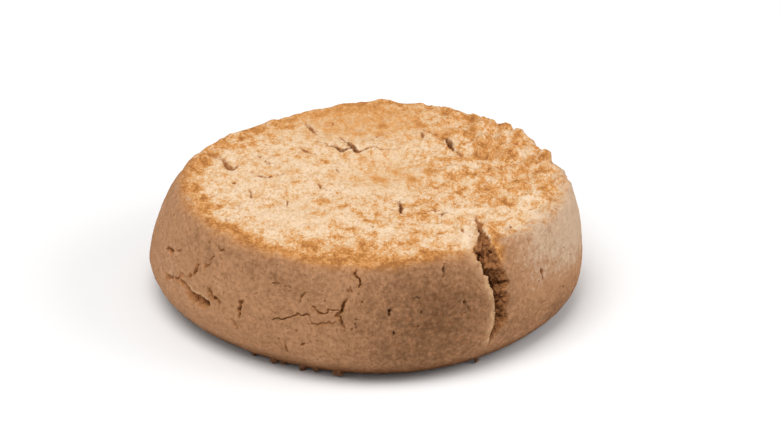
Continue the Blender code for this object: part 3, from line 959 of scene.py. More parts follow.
class Graph:
    """The nodes of one material."""

    def __init__(self, name: str) -> None:
        """Makes a material with a Principled shader.

        Args:
            name: The material's name.
        """
        self.material = bpy.data.materials.new(name)
        self.material.use_nodes = True
        self.tree = self.material.node_tree
        self.shader = self.tree.nodes["Principled BSDF"]

    def node(self, kind: str, settings: dict, sockets: dict, output: int | str = 0) -> Link:
        """Adds a node.

        Args:
            kind: The node's type.
            settings: Its settings, which are set first.
            sockets: Its sockets' values or links, by name or place.
            output: The output that is wanted.

        Returns:
            The output.
        """
        made = self.tree.nodes.new(kind)
        for key, value in settings.items():
            setattr(made, key, value)
        for key, value in sockets.items():
            self.feed(made.inputs[key], value)
        return Link(self, made.outputs[output])

    def feed(self, socket: bpy.types.NodeSocket, value: "Link | float | Sequence[float]") -> None:
        """Links a socket, or sets its value."""
        if isinstance(value, Link):
            self.tree.links.new(value.socket, socket)
        else:
            socket.default_value = value

    def math(self, operation: str, first: "Link | float", second: "Link | float") -> Link:
        """One Math node."""
        return self.node("ShaderNodeMath", {"operation": operation}, {0: first, 1: second})

    def shade(self, **sockets: "Link | float | Sequence[float]") -> bpy.types.Material:
        """Feeds the shader.

        Args:
            **sockets: Its sockets by name, with _ for a space.

        Returns:
            The finished material.
        """
        for key, value in sockets.items():
            self.feed(self.shader.inputs[key.replace("_", " ")], value)
        return self.material

    def places(self) -> Link:
        """The place on the object, in metres."""
        return self.node("ShaderNodeTexCoord", {}, {}, "Object")

    def attribute(self, name: str) -> Link:
        """A number that the mesh holds at its vertices."""
        return self.node("ShaderNodeAttribute", {"attribute_name": name}, {}, "Fac")

    def noise(self, places: Link, size: float, detail: float = 2.0, roughness: float = 0.5) -> Link:
        """Soft noise about 0.

        Args:
            places: Where it is read.
            size: The size of its features.
            detail: How many finer layers it has.
            roughness: How strong they are.

        Returns:
            The noise, mostly from -0.3 to 0.3.
        """
        sockets = {"Vector": places, "Scale": 1.0 / size, "Detail": detail, "Roughness": roughness}
        return self.node("ShaderNodeTexNoise", {}, sockets) - 0.5

    def ramp(self, value: Link, stops: Sequence[tuple[float, Colour]]) -> Link:
        """A colour that changes with a number.

        Args:
            value: The number.
            stops: The numbers and their colours, which go from the first to the last.

        Returns:
            The colour.
        """
        found = self.node("ShaderNodeValToRGB", {}, {0: value})
        elements = found.socket.node.color_ramp.elements
        while len(elements) < len(stops):
            elements.new(1.0)
        for element, (place, colour) in zip(elements, stops):
            element.position = place
            element.color = (*colour, 1.0)
        return found

    def mix(
        self, amount: "Link | float", first: "Link | Colour", second: "Link | Colour", blend: str = "MIX"
    ) -> Link:
        """Mixes two colours.

        Args:
            amount: 0 for the first and 1 for the second.
            first: The first colour.
            second: The second colour.
            blend: How the second goes over the first.

        Returns:
            The mixed colour.
        """
        colours = [value if isinstance(value, Link) else (*value, 1.0) for value in (first, second)]
        sockets = {0: amount, 6: colours[0], 7: colours[1]}
        return self.node("ShaderNodeMix", {"data_type": "RGBA", "blend_type": blend}, sockets, 2)

    def brighten(self, colour: Link, amount: Link) -> Link:
        """A colour times a number."""
        return self.node("ShaderNodeVectorMath", {"operation": "SCALE"}, {0: colour, 3: amount})

    def bump(self, height: Link, depth: float) -> Link:
        """The normal of a bump, where a height of 1 stands out by the depth."""
        return self.node("ShaderNodeBump", {}, {"Height": height, "Distance": depth, "Strength": 1.0})


@dataclass(frozen=True)
class DoughFinish:
    """Baked dough: a pale top toasted in patches, a tan wall, and cracks with painted shade inside and
    painted highlights on their lips.
    """

    # From floury to singed: (heat, colour).
    top_colours: tuple[tuple[float, Colour], ...] = (
        (0.0, (0.74, 0.56, 0.39)), (0.30, (0.68, 0.475, 0.29)), (0.44, (0.63, 0.39, 0.20)),
        (0.58, (0.60, 0.29, 0.10)), (0.78, (0.47, 0.198, 0.053)), (1.0, (0.32, 0.125, 0.036)))
    # The paler and darker wall colours also carry painted light high on the far right and painted shade on
    # the front right and under the left rim.
    pale_tan: Colour = (0.52, 0.36, 0.24)
    tan: Colour = (0.405, 0.207, 0.103)
    brown: Colour = (0.135, 0.058, 0.024)
    # A browned base edge together with painted shade near the floor.
    foot_brown_and_shade: Colour = (0.10, 0.034, 0.008)
    # The split's broken dough, which also darkens the small cracks as painted shade; then the painted shade
    # deep in cracks, pits and the split.
    inside: Colour = (0.37, 0.16, 0.061)
    deep_shade: Colour = (0.105, 0.032, 0.008)
    # A painted highlight along the steep lips of cracks.
    lip: Colour = (0.54, 0.325, 0.175)
    speck: Colour = (0.27, 0.115, 0.045)
    top_speck: Colour = (0.46, 0.205, 0.07)
    cloud_size: float = 6.0 * MM
    blotch_size: float = 2.6 * MM
    patch_size: float = 1.3 * MM
    grain_size: float = 0.6 * MM
    fine_size: float = 0.32 * MM
    speck_size: float = 0.51 * MM
    flake_size: float = 0.8 * MM
    # The top's marks are longer from front to back.
    stretch: tuple[float, float, float] = (1.0, 0.65, 1.0)
    top_bump: float = 0.14 * MM
    wall_bump: float = 0.2 * MM
    roughness: float = 0.95

    def material(self) -> bpy.types.Material:
        """The finish as a material."""
        graph = Graph("baked dough")
        places = graph.node(
            "ShaderNodeVectorMath", {"operation": "MULTIPLY"}, {0: graph.places(), 1: self.stretch})
        blotch = graph.noise(places, self.blotch_size, 3.0, 0.55)
        patch = graph.noise(places, self.patch_size, 3.0, 0.6)
        grain = graph.noise(places, self.grain_size, 2.0, 0.6)
        fine = graph.noise(places, self.fine_size, 1.0)
        islands = (blotch + 0.55 * patch + 0.4 * grain).eased(-0.1, 0.1) - 0.5
        mottle = 0.08 * islands + 0.5 * blotch + 1.0 * patch + 0.7 * grain + 0.9 * fine
        heat = 0.31 + 0.64 * graph.attribute("toast") + graph.attribute("mottle") * mottle
        top = graph.ramp(heat, self.top_colours)
        # The wall attribute mixes the wall's own tone with painted light and shade.
        browning_and_shade = graph.attribute("wall") + 0.8 * graph.noise(places, self.cloud_size, 4.0)
        browning_and_shade = browning_and_shade + 0.4 * blotch + 1.0 * patch + 1.2 * grain
        wall = graph.mix(browning_and_shade.eased(-1.0, 0.0), self.pale_tan, self.tan)
        wall = graph.mix(browning_and_shade.eased(-0.1, 1.6), wall, self.brown)
        # Browner towards the base: a browned edge and painted shade near the floor.
        wall = graph.mix(graph.attribute("foot") + 0.5 * patch, wall, self.foot_brown_and_shade)
        crust = (graph.attribute("crust") + 0.7 * patch + 0.3 * blotch).eased(0.0, 1.0)
        colour = graph.mix(crust, wall, top)
        light = 0.08 - 0.10 * grain.eased(-0.2, 0.2) - 0.06 * patch.eased(-0.2, 0.2)
        colour = graph.brighten(colour, 1.0 + (1.0 - 0.6 * crust) * light)
        specks = (graph.noise(places, self.speck_size, 1.0) - 0.8 * patch).eased(0.13, 0.21)
        strength = (0.4 + 0.35 * graph.attribute("wall")).eased(0.0, 1.0)
        strength = strength + (0.35 - strength) * crust
        colour = graph.mix(specks * strength, colour, graph.mix(crust, self.speck, self.top_speck))
        # Painted highlight along the crack lips.
        lip = graph.attribute("lip") * (1.0 + 4.0 * patch + 3.0 * grain)
        colour = graph.mix(lip.eased(0.0, 1.6), colour, self.lip)
        # Painted shade in the cracks, pits and split, darkest deep inside; the split also takes the broken
        # dough's colour.
        cleft_shade = graph.attribute("cleft_shade") * (0.5 + (patch + grain).eased(-0.15, 0.15))
        colour = graph.mix(cleft_shade.eased(0.0, 0.55), colour, self.inside, "DARKEN")
        colour = graph.mix(graph.attribute("torn").eased(0.0, 0.7), colour, self.inside)
        colour = graph.mix(cleft_shade.eased(0.5, 1.4), colour, self.deep_shade)
        flakes = graph.noise(places, self.flake_size, 3.0, 0.6) + 0.5 * blotch - 0.4 * specks * (1.0 - crust)
        height = flakes * (self.wall_bump + (self.top_bump - self.wall_bump) * crust)
        normal = graph.bump(height, 1.0)
        return graph.shade(
            Base_Color=colour, Roughness=self.roughness, Specular_IOR_Level=0.1, Normal=normal)


@dataclass(frozen=True)
class BitFinish:
    """The finish of loose bits: two colours that change softly from one into the other.

    Attributes:
        name: The material's name.
        first: Its first colour.
        second: Its second colour.
        size: The size of the patches of colour.
        span: The noise's values between which the first turns into the second.
        roughness: How rough it is.
        detail: How many finer layers the noise has.
        bump: How far the noise stands out.
    """

    name: str
    first: Colour
    second: Colour
    size: float
    span: tuple[float, float]
    roughness: float
    detail: float = 2.0
    bump: float = 0.0

    def material(self) -> bpy.types.Material:
        """The finish as a material."""
        graph = Graph(self.name)
        mottle = graph.noise(graph.places(), self.size, self.detail)
        sockets = {"Normal": graph.bump(mottle, self.bump)} if self.bump else {}
        colour = graph.mix(mottle.eased(*self.span), self.first, self.second)
        return graph.shade(Base_Color=colour, Roughness=self.roughness, **sockets)


# Loose crumbs, browner than the dough that they fell from.
BROWNED_CRUMB = BitFinish(
    "browned crumb", (0.11, 0.042, 0.015), (0.24, 0.105, 0.042), 0.7 * MM, (-0.2, 0.2), 0.9,
    detail=3.0, bump=0.2 * MM)
# Sugar, half sunk in the crust and stained by it.
STAINED_SUGAR = BitFinish(
    "sugar", (0.76, 0.56, 0.37), (0.62, 0.35, 0.16), 2.0 * MM, (-0.1, 0.25), 0.6)
CINNAMON = BitFinish(
    "cinnamon", (0.56, 0.29, 0.12), (0.40, 0.17, 0.06), 0.6 * MM, (-0.15, 0.15), 0.85)


@dataclass(frozen=True)
class Atlas:
    """How the skin lies flat, in metres on a square sheet: the wall in two strips, the top and the base."""

    side: float = 114.0 * MM
    margin: float = 1.5 * MM
    wall_radius: float = 34.0 * MM
    top_run: float = 33.0 * MM
    base_scale: float = 0.7

    def flat(self, form: Form, ways: Array, middles: Array) -> Array:
        """Places on the sheet.

        Args:
            form: The cookie's form.
            ways: The direction of each corner from the cookie's middle.
            middles: The direction of the middle of each corner's face.

        Returns:
            The place of each corner on the sheet, as shares of its side.
        """
        _, _, runs, _ = form.profile()
        end = runs[-1]
        base_run = end - form.foot_radius
        run, middle_run = form.run_of(ways), form.run_of(middles)
        azimuth = np.arctan2(ways[:, 1], ways[:, 0])
        spin = np.stack([np.cos(azimuth), np.sin(azimuth)], axis=-1)
        strip = base_run - self.top_run
        top_centre = self.margin + self.top_run
        disc_line = 2 * strip + 3 * self.margin + self.top_run
        top = np.array([top_centre, disc_line]) + spin * run[:, None]
        base_radius = self.base_scale * (end - base_run)
        base_centre = np.array([2 * self.top_run + 2 * self.margin + base_radius, disc_line])
        base = base_centre + spin * (self.base_scale * (end - run))[:, None] * (1, -1)
        front = middles[:, 1] < 0
        centre = np.where(front, -TOP, TOP)
        round_about = (azimuth - centre + math.pi) % (2 * math.pi) - math.pi
        across = self.margin + self.wall_radius * (round_about + TOP)
        up = self.margin + np.where(front, 0.0, strip + self.margin) + base_run - run
        wall = np.stack([across, up], axis=-1)
        placed = np.where((middle_run < self.top_run)[:, None], top, wall)
        return np.where((middle_run > base_run)[:, None], base, placed) / self.side


@dataclass
class Skin:
    """The whole crust: top, wall, base, and every crack and pore in it."""

    form: Form = field(default_factory=Form)
    finish: DoughFinish = field(default_factory=DoughFinish)
    atlas: Atlas = field(default_factory=Atlas)
    ball_steps: int = 6
    rounds: int = 6
    widest_facet: float = 0.66 * MM
    top_facet: float = 0.47 * MM
    top_from: float = 17.5 * MM
    finest_facet: float = 0.18 * MM
    facet_growth: float = 0.3
    least_edge: float = 0.13 * MM
    torn_edge: float = 0.34 * MM
    slow_tremble: tuple[float, float] = (2.1 * MM, 0.5 * MM)
    quick_trembles: tuple[tuple[float, float], ...] = ((0.9 * MM, 0.55 * MM), (0.45 * MM, 0.22 * MM))
    torn_rounds: int = 4
    torn_smoothing: int = 8
    top_ragged: float = 0.45
    wall_ragged: float = 0.8
    pores: int = 150
    top_hairs: int = 16
    wall_hairs: int = 24
    # How far from the middle the scattered marks on the top reach, in millimetres.
    scatter_reach: float = 28.0
    seed: int = 7
    coarse_size: float = 3.2 * MM
    middle_size: float = 1.4 * MM
    # The heights, in millimetres, of the coarse waves, the middle ones and the crumbs.
    top_heights: tuple[float, float, float] = (0.16, 0.15, 0.32)
    wall_heights: tuple[float, float, float] = (0.07, 0.08, 0.03)
    toast_inside: float = 5.0 * MM
    toast_outside: float = 3.0 * MM

    def __post_init__(self) -> None:
        """Gathers the cracks and pits."""
        self.cracks = [SPLIT, FLAKE]
        kinds = ((Side.TOP, TOP_CRACKS, self.top_ragged), (Side.WALL, WALL_CRACKS, self.wall_ragged))
        for side, cracks, ragged in kinds:
            self.cracks += [Crack(side, notches, broken=name not in WHOLE, ragged=ragged)
                            for name, notches in cracks.items()]
        self.cracks += self.scattered_hairs()
        self.pits = list(PITS) + self.scattered_pores()

    def scattered_hairs(self) -> list[Crack]:
        """Short fine cracks over the top, and round the back of the wall."""
        draw = np.random.default_rng(self.seed).uniform
        found = []
        for number in range(self.top_hairs + self.wall_hairs):
            side = Side.TOP if number < self.top_hairs else Side.WALL
            length, turn = draw(1.2, 4.5), draw(0, 2 * math.pi)
            bend, depth = draw(-0.7, 0.7), draw(0.25, 0.6)
            if side is Side.TOP:
                out, angle = self.scatter_reach * math.sqrt(draw(0, 1)), draw(0, 2 * math.pi)
                across, along, degree = out * math.cos(angle), out * math.sin(angle), 1.0
            else:
                across, along, degree = draw(-15, 190), draw(5, 16), 0.6
            reach = length / 2
            ways = (turn + bend, turn + math.pi - bend)
            ends = [(reach * math.cos(way), reach * math.sin(way)) for way in ways]
            notches = [Notch(across + x / degree, along + y, 0.3, 0.3) for x, y in ends]
            notches.insert(1, Notch(across, along, 0.3 + 0.4 * depth, depth))
            found.append(Crack(side, tuple(notches)))
        return found

    def scattered_pores(self) -> list[Pit]:
        """Small pores all round the wall and a few on the top."""
        draw = np.random.default_rng(self.seed + 1).uniform
        found = []
        for _ in range(self.pores):
            radius = draw(0.13, 0.3)
            depth = radius * draw(1.0, 1.6)
            found.append(Pit(Side.WALL, draw(0, 360), draw(3.5, 17.5), radius, depth))
        for _ in range(self.pores // 8):
            radius = draw(0.15, 0.35)
            turn, out = draw(0, 2 * math.pi), self.scatter_reach * math.sqrt(draw(0, 1))
            found.append(Pit(Side.TOP, out * math.cos(turn), out * math.sin(turn), radius, radius * 1.2))
        return found

    def cut(self, places: Array, normals: Array) -> Cut:
        """What the cracks and pits do to each place.

        Args:
            places: One place on the uncracked form for each row.
            normals: The way out there.

        Returns:
            The cut.
        """
        made = Cut.none(len(places))
        slow = places + wander_at(places, *self.slow_tremble)
        quick = sum(wander_at(places, *tremble) for tremble in self.quick_trembles)
        for crack in self.cracks:
            crack.cut_into(made, self.form, slow + crack.ragged * quick, normals)
        for pit in self.pits:
            pit.cut_into(made, self.form, slow + 0.5 * quick)
        return made

    def refine(self, shape: bmesh.types.BMesh) -> None:
        """Cuts the ball's facets finer, until they can show each crack.

        Args:
            shape: The ball. Its vertices stay unit vectors.
        """
        for number in range(self.rounds):
            ways = vertex_places(shape)
            places, normals = self.form.places(ways), self.form.ways_out(ways)
            cut = self.cut(places, normals)
            pushed = places - normals * cut.sink[:, None] + cut.shift
            wanted = np.minimum(self.finest_facet + self.facet_growth * cut.gap, self.widest_facet)
            wanted = np.where(places[:, 2] > self.top_from, np.minimum(wanted, self.top_facet), wanted)
            wanted = np.where(cut.torn > 0.1, self.torn_edge, wanted)
            wanted = np.where(places[:, 2] < 0.2 * MM, 2 * self.widest_facet, wanted)
            shape.verts.index_update()
            ends = np.array([(edge.verts[0].index, edge.verts[1].index) for edge in shape.edges])
            length = np.linalg.norm(pushed[ends[:, 0]] - pushed[ends[:, 1]], axis=1)
            flat_length = np.linalg.norm(places[ends[:, 0]] - places[ends[:, 1]], axis=1)
            long = length > 1.25 * (wanted[ends[:, 0]] + wanted[ends[:, 1]]) / 2
            long &= flat_length > self.least_edge
            LOG.info("crust round %d: %d facets, %d long edges", number, len(shape.faces), int(long.sum()))
            if not long.any():
                break
            edges = [edge for edge, is_long in zip(shape.edges, long) if is_long]
            split_facets(shape, edges)
            for vertex in shape.verts:
                vertex.co.normalize()

    def relief(self, places: Array) -> Array:
        """How far the crumbly surface stands above the form.

        Args:
            places: One place on the form for each row.

        Returns:
            The height at each place.
        """
        on_top = eased(places[:, 2], 17.0 * MM, 19.0 * MM)
        out = np.hypot(places[:, 0], places[:, 1])
        right = eased(places[:, 0], 2.0 * MM, 16.0 * MM)
        smooth_dish = hill(np.hypot(places[:, 0] - 1.0 * MM, places[:, 1] - 3.0 * MM), 12.0 * MM)
        coarse, middle = grain_at(places, self.coarse_size, 1.0), grain_at(places, self.middle_size, 2.0)
        crumbs = lumps_at(places, 2.6 * MM, 3.0) + 0.6 * lumps_at(places, 1.3 * MM, 5.0)
        crumbs += 0.4 * lumps_at(places, 0.8 * MM, 7.0) - 1.0
        rough = (0.35 + 0.75 * right) * (1.0 - 0.7 * smooth_dish)
        behind = eased(places[:, 0] + 0.4 * places[:, 1], 16.0 * MM, 32.0 * MM) * (places[:, 1] > 0)
        ragged = (0.06 + 1.3 * behind) * hill(out - 30.0 * MM, 4.0 * MM)
        ragged *= lumps_at(places, 3.4 * MM, 4.0) - 0.4
        high, low = self.top_heights, self.wall_heights
        top = high[0] * coarse + high[1] * middle + high[2] * rough * crumbs + ragged
        wall = low[0] * coarse + low[1] * middle + low[2] * crumbs
        # The base stays flat.
        return (wall + (top - wall) * on_top) * MM * eased(places[:, 2], 0.0, 2.5 * MM)

    def break_open(self, shape: bmesh.types.BMesh) -> None:
        """Cuts the stretched facets inside the split finer, and makes them crumbly.

        Args:
            shape: The crust, with the layers way and torn.
        """
        torn = shape.verts.layers.float["torn"]
        for _ in range(self.torn_rounds):
            stretched = [
                edge for edge in shape.edges
                if edge.verts[0][torn] + edge.verts[1][torn] > 0.2
                and edge.calc_length() > 1.5 * self.torn_edge]
            split_facets(shape, stretched)
        inner = [vertex for vertex in shape.verts if vertex[torn] > 0.4]
        for _ in range(self.torn_smoothing):
            bmesh.ops.smooth_vert(
                shape, verts=inner, factor=0.5, use_axis_x=True, use_axis_y=True, use_axis_z=True)
        shape.normal_update()
        places = np.array([vertex.co[:] for vertex in inner])
        rough = 0.4 * lumps_at(places, 1.7 * MM, 6.0) + 0.6 * lumps_at(places, 0.75 * MM, 8.0)
        rough += 0.3 * grain_at(places, 0.45 * MM, 9.0) - 0.4
        for vertex, stand in zip(inner, rough * MM):
            vertex.co += vertex.normal * float(stand) * vertex[torn]

    def build(self) -> bpy.types.Object:
        """Makes the crust.

        Returns:
            The finished object.
        """
        shape = bmesh.new()
        bmesh.ops.create_icosphere(shape, subdivisions=self.ball_steps, radius=1.0)
        self.refine(shape)
        ways = vertex_places(shape)
        places, normals = self.form.places(ways), self.form.ways_out(ways)
        cut = self.cut(places, normals)
        stand = self.relief(places) * (1.0 - 0.7 * share(cut.sink, 0.0, 0.6 * MM)) - cut.sink
        pushed = places + normals * stand[:, None] + cut.shift
        way_layer = shape.verts.layers.float_vector.new("way")
        torn_layer = shape.verts.layers.float.new("torn")
        for vertex, way, torn, place in zip(shape.verts, ways, cut.torn, pushed):
            vertex[way_layer] = way
            vertex[torn_layer] = torn
            vertex.co = place
        self.break_open(shape)
        for vertex in shape.verts:
            vertex.co.z = max(vertex.co.z, 0.0)
        ways = unit(np.array([vertex[way_layer][:] for vertex in shape.verts]))
        shape.verts.layers.float_vector.remove(way_layer)
        shape.verts.layers.float.remove(torn_layer)
        bmesh.ops.recalc_face_normals(shape, faces=shape.faces)
        crust = add_object("crust", shape, self.finish.material())
        crust.data.shade_smooth()
        self.mark(crust.data, ways)
        self.lay_flat(crust.data, ways)
        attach(crust, "root")
        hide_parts("cookie")
        return crust

    @staticmethod
    def rim_at(azimuth: Array, what: str) -> Array:
        """One of the rim's numbers.

        Args:
            azimuth: Azimuths in degrees.
            what: The name of the number.

        Returns:
            The number at each azimuth.
        """
        turns = [place.azimuth for place in RIM]
        return np.interp(azimuth, turns, [getattr(place, what) for place in RIM], period=360.0)

    def mark(self, mesh: bpy.types.Mesh, ways: Array) -> None:
        """Gives the mesh the numbers that the finish reads.

        Args:
            mesh: The crust's mesh.
            ways: Each vertex's direction from the cookie's middle.
        """
        places = self.form.places(ways)
        cut = self.cut(places, self.form.ways_out(ways))
        sunk = np.linalg.norm(read(mesh.vertices, "co", width=3) - places, axis=1)
        azimuth = np.degrees(np.arctan2(places[:, 1], places[:, 0])) % 360.0
        # The top is flat in the profile, so the run to the rim is its radius.
        inset = self.form.rim_radius - self.form.run_of(ways) + 0.6 * MM * grain_at(places, 2.6 * MM, 9.0)
        band = np.where(inset > 0, hill(inset, self.toast_inside), hill(-inset, self.toast_outside))
        toast = np.sum([patch.over(places) for patch in PATCHES], axis=0)
        toast += self.rim_at(azimuth, "toast") * band
        calm = np.clip(np.sum([patch.over(places) for patch in CALM], axis=0), 0.0, 0.65)
        edge, softness = self.rim_at(azimuth, "inset") * MM, self.rim_at(azimuth, "softness") * MM
        marks = {
            "toast": 0.8 * np.tanh(1.25 * toast),
            "mottle": 1.0 - 0.25 * np.clip(toast, 0.0, 1.0) - calm,
            "crust": np.clip(0.5 + (inset - edge) / softness, 0.0, 1.0),
            # Painted shade in the cracks and pits, and in the split more the deeper it goes.
            "cleft_shade": np.maximum(cut.cleft_shade, cut.torn * (0.5 + 0.75 * share(sunk, 0.4 * MM, 4.4 * MM))),
            "torn": cut.torn,
            # Painted highlight along the crack lips.
            "lip": cut.lip,
            # The wall's own tone together with its painted light and shade.
            "wall": np.sum([patch.over(azimuth, places) for patch in WALL_TONES_AND_SHADE], axis=0),
            # A browned base edge with painted shade near the floor.
            "foot": 1.0 - eased(places[:, 2], 1.0 * MM, 4.6 * MM),
        }
        for name, values in marks.items():
            attribute = mesh.attributes.new(name, "FLOAT", "POINT")
            attribute.data.foreach_set("value", values.astype(np.float32))

    def lay_flat(self, mesh: bpy.types.Mesh, ways: Array) -> None:
        """Gives the mesh its flat layout.

        Args:
            mesh: The crust's mesh, all triangles.
            ways: Each vertex's direction from the cookie's middle.
        """
        corners = read(mesh.loops, "vertex_index", np.int32)
        middles = unit(ways[corners].reshape(-1, 3, 3).sum(axis=1))
        flat = self.atlas.flat(self.form, ways[corners], np.repeat(middles, 3, axis=0))
        layer = mesh.uv_layers.new(name="OFBake")
        layer.data.foreach_set("uv", flat.astype(np.float32).ravel())


@dataclass(frozen=True)
class Spot:
    """Where a crumb lies at the foot of the cookie, in millimetres."""

    across: float
    along: float
    up: float
    size: float


@dataclass
class Crumbs:
    """Browned crumbs stuck along the front foot."""

    finish: BitFinish = BROWNED_CRUMB
    spots: tuple[Spot, ...] = (
        Spot(-14.7, -27.4, 0.5, 1.2), Spot(-13.2, -27.9, 0.5, 1.0), Spot(-10.1, -29.2, 0.6, 1.3),
        Spot(-8.0, -29.7, 0.6, 1.2), Spot(-4.3, -31.0, 0.9, 1.9), Spot(17.6, -25.4, 0.5, 0.9),
        Spot(-18.0, -25.2, 0.5, 0.9), Spot(1.5, -29.8, 0.4, 0.7),
    )

    def build(self) -> bpy.types.Object:
        """Makes the crumbs.

        Returns:
            The finished object.
        """
        shape = bmesh.new()
        for spot in self.spots:
            made = bmesh.ops.create_icosphere(shape, subdivisions=3, radius=spot.size * MM / 2)["verts"]
            for vertex in made:
                seat = Vector((spot.across, spot.along, 0.0))
                rough = noise.noise(vertex.co / (0.7 * MM) + seat)
                rough += 0.5 * noise.noise(vertex.co / (0.3 * MM) - seat)
                vertex.co *= 1.0 + 0.7 * rough
            place = Vector((spot.across, spot.along, max(spot.up, spot.size * 0.55))) * MM
            bmesh.ops.translate(shape, verts=made, vec=place)
            for vertex in made:
                vertex.co.z = max(vertex.co.z, 0.0)
        crumbs = add_object("crumbs", shape, self.finish.material())
        crumbs.data.shade_smooth()
        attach(crumbs, "root")
        return crumbs


@dataclass
class Grains:
    """Many small grains of one kind, seated on the crust.

    Attributes:
        name: What they are.
        slot: A material slot's name, which is not used.
        count: How many there are.
        on_wall: How many fall on the wall, as a share of those that fall on the top.
        cubic: Whether they are cubes with cut corners, as crystals are.
        seed: What the scatter starts from.
        finish: Their finish.
        smallest: The smallest grain's size.
        largest: The largest grain's size.
        sunk: How deep a grain sits, as a share of its size.
    """

    name: str
    slot: str
    count: int
    on_wall: float
    cubic: bool
    seed: int
    finish: BitFinish
    smallest: float = 0.1 * MM
    largest: float = 0.2 * MM
    sunk: float = 0.55

    def one(self) -> bpy.types.Mesh:
        """One grain of size 1."""
        shape = bmesh.new()
        if self.cubic:
            bmesh.ops.create_cube(shape, size=0.8)
            bmesh.ops.bevel(
                shape, geom=shape.verts[:], offset=0.2, affect="VERTICES",
                segments=1, profile=0.5, material=-1)
        else:
            bmesh.ops.create_icosphere(shape, subdivisions=1, radius=0.5)
        bmesh.ops.triangulate(shape, faces=shape.faces)
        mesh = bpy.data.meshes.new(self.name)
        shape.to_mesh(mesh)
        shape.free()
        return mesh

    def seats(self, crust: bpy.types.Object) -> tuple[Array, Array]:
        """Where the grains sit.

        Args:
            crust: The crust that they sit on.

        Returns:
            Their places, and the way out there.
        """
        chance = np.random.default_rng(self.seed)
        mesh = crust.data
        corners = read(mesh.loops, "vertex_index", np.int32)
        triangles = read(mesh.vertices, "co", width=3).astype(float)[corners].reshape(-1, 3, 3)
        outward = np.cross(triangles[:, 1] - triangles[:, 0], triangles[:, 2] - triangles[:, 0])
        area = np.linalg.norm(outward, axis=1)
        outward /= np.maximum(area, 1e-15)[:, None]
        marks = {}
        for name in ("crust", "cleft_shade", "toast"):
            marks[name] = read(mesh.attributes[name].data, "value")[corners].reshape(-1, 3).mean(axis=1)
        top = share(marks["crust"], 0.8, 1.0) * np.exp(-3.0 * np.clip(marks["toast"], 0.0, 1.0))
        open_skin = marks["cleft_shade"] < 0.1
        high = triangles[:, :, 2].mean(axis=1) > 2.0 * MM
        wanted = area * (self.on_wall + (1.0 - self.on_wall) * top) * open_skin * high
        chosen = chance.choice(len(wanted), self.count, p=wanted / wanted.sum())
        mixed = chance.dirichlet((1.0, 1.0, 1.0), self.count)
        return (triangles[chosen] * mixed[:, :, None]).sum(axis=1), outward[chosen]

    def build(self, crust: bpy.types.Object) -> bpy.types.Object:
        """Makes the grains.

        Args:
            crust: The crust that they sit on.

        Returns:
            The finished object.
        """
        grain = self.one()
        corners = read(grain.vertices, "co", width=3).reshape(1, -1, 3).astype(float)
        grains = bpy.data.objects.new(self.name, grain)
        bpy.context.scene.collection.objects.link(grains)
        copies = grains.modifiers.new("Copies", "ARRAY")
        copies.count = self.count
        copies.use_relative_offset = False
        graph = bpy.context.evaluated_depsgraph_get()
        mesh = bpy.data.meshes.new_from_object(grains.evaluated_get(graph))
        grains.modifiers.clear()
        grains.data = mesh
        mesh.name = self.name
        chance = np.random.default_rng(self.seed + 1)
        places, outward = self.seats(crust)
        size = chance.uniform(self.smallest, self.largest, self.count)
        stretch = chance.uniform(0.75, 1.25, (self.count, 1, 3))
        turns = np.array([self.turned(chance) for _ in range(self.count)])
        spread = np.einsum("nij,nkj->nki", turns, corners * stretch) * size[:, None, None]
        seats = places + outward * (size * (0.5 - self.sunk))[:, None]
        mesh.vertices.foreach_set("co", (spread + seats[:, None, :]).astype(np.float32).ravel())
        mesh.update()
        mesh.materials.clear()
        mesh.materials.append(self.finish.material())
        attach(grains, "root")
        return grains

    @staticmethod
    def turned(chance: np.random.Generator) -> Array:
        """A turn by chance, as a matrix."""
        axis = Vector(chance.normal(size=3).tolist())
        return np.array(Matrix.Rotation(float(chance.uniform(0, 2 * math.pi)), 3, axis))


@dataclass(frozen=True)
class Softbox:
    """A soft light that points at the cookie.

    Attributes:
        name: Which light it is.
        azimuth: The way it comes from, in degrees.
        elevation: How high it stands, in degrees.
        distance: How far off it is.
        size: The length of its sides.
        power: Its power in watts.
    """

    name: str
    azimuth: float
    elevation: float
    distance: float
    size: float
    power: float

    def build(self, target: Vector) -> None:
        """Adds the light.

        Args:
            target: What it points at.
        """
        light = bpy.data.lights.new(self.name, "AREA")
        light.size = self.size
        light.energy = self.power
        lamp = bpy.data.objects.new(self.name, light)
        bpy.context.scene.collection.objects.link(lamp)
        azimuth, elevation = math.radians(self.azimuth), math.radians(self.elevation)
        way = Vector((
            math.cos(azimuth) * math.cos(elevation),
            math.sin(azimuth) * math.cos(elevation), math.sin(elevation)))
        lamp.location = target + way * self.distance
        lamp.rotation_euler = way.to_track_quat("Z", "Y").to_euler()


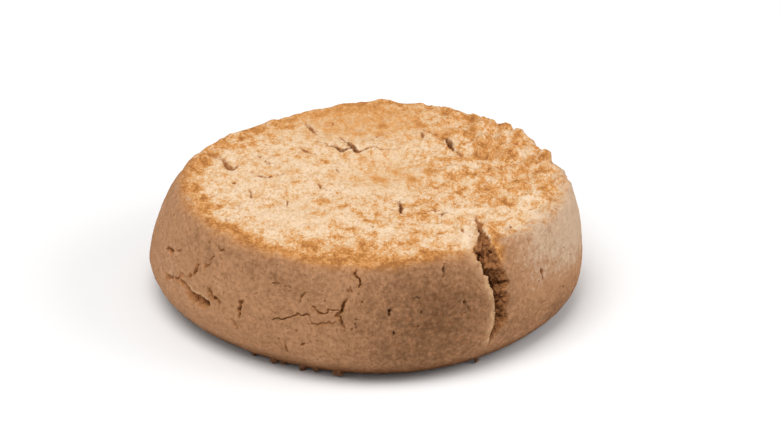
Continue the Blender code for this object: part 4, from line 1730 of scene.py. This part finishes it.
@dataclass
class Studio:
    """The floor, the soft lights and the camera."""

    floor_side: float = 4.0
    floor_colour: Colour = (0.86, 0.86, 0.86)
    floor_roughness: float = 0.8
    sky_colour: Colour = (1.0, 1.0, 1.0)
    sky_strength: float = 0.42
    lights: tuple[Softbox, ...] = (
        Softbox("overhead", 235.0, 70.0, 0.8, 0.6, 5.0),
        Softbox("left", 200.0, 22.0, 0.8, 0.5, 1.0),
        Softbox("right", 0.0, 30.0, 0.8, 0.5, 2.8),
    )
    lens: float = 153.07
    sensor: float = 36.0
    camera_distance: float = 0.55
    camera_elevation: float = 27.126
    camera_roll: float = 1.55
    target: tuple[float, float, float] = (-0.453 * MM, 0.0, 9.58 * MM)
    # The cookie sits a little to the left of the view's middle and below it.
    aim_right: float = 3.77 * MM
    aim_up: float = 2.5 * MM

    def build(self) -> None:
        """Makes the whole studio."""
        self.build_floor()
        self.build_sky()
        for light in self.lights:
            light.build(Vector(self.target))
        self.build_camera()

    def build_floor(self) -> None:
        """Makes the floor, which is not part of the cookie."""
        shape = bmesh.new()
        bmesh.ops.create_grid(shape, x_segments=1, y_segments=1, size=self.floor_side / 2)
        material = Graph("floor").shade(Base_Color=(*self.floor_colour, 1.0), Roughness=self.floor_roughness)
        floor = add_object("floor", shape, material)

    def build_sky(self) -> None:
        """Gives the world an even soft light."""
        world = bpy.data.worlds.new("studio")
        world.use_nodes = True
        background = world.node_tree.nodes["Background"]
        background.inputs["Color"].default_value = (*self.sky_colour, 1.0)
        background.inputs["Strength"].default_value = self.sky_strength
        bpy.context.scene.world = world
        bpy.context.scene.view_settings.view_transform = "Standard"

    def build_camera(self) -> None:
        """Adds the camera."""
        elevation, roll = math.radians(self.camera_elevation), math.radians(self.camera_roll)
        onward = Vector((0.0, math.cos(elevation), -math.sin(elevation)))
        up = Vector((0.0, math.sin(elevation), math.cos(elevation)))
        right = Vector((1.0, 0.0, 0.0))
        rolled_right = right * math.cos(roll) + up * math.sin(roll)
        rolled_up = up * math.cos(roll) - right * math.sin(roll)
        place = Vector(self.target) - onward * self.camera_distance
        aim = Vector(self.target) + rolled_right * self.aim_right + rolled_up * self.aim_up
        back = (place - aim).normalized()
        side = rolled_up.cross(back).normalized()
        turned = Matrix((side, back.cross(side), back)).transposed().to_4x4()
        data = bpy.data.cameras.new("camera")
        data.lens = self.lens
        data.sensor_width = self.sensor
        data.clip_start = 0.01
        camera = bpy.data.objects.new("camera", data)
        bpy.context.scene.collection.objects.link(camera)
        camera.matrix_world = Matrix.Translation(place) @ turned
        bpy.context.scene.camera = camera


def main() -> None:
    """Builds the cookie's looks and the studio round it."""
    logging.basicConfig(level=logging.INFO, format="%(message)s")
    # The noise vectors start from the clock unless they are given a seed.
    noise.seed_set(NOISE_SEED)
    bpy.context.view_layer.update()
    crust = Skin().build()
    LOG.info("crust: %d triangles", len(crust.data.polygons))
    pieces = [
        Crumbs().build(),
        Grains("sugar", "sugar", 1100, 0.0, True, 11, STAINED_SUGAR).build(crust),
        Grains("cinnamon", "crumb", 500, 0.1, False, 23, CINNAMON).build(crust),
    ]
    for piece in pieces:
        LOG.info("%s: %d faces", piece.name, len(piece.data.polygons))
    Studio().build()


if __name__ == "__main__":
    main()
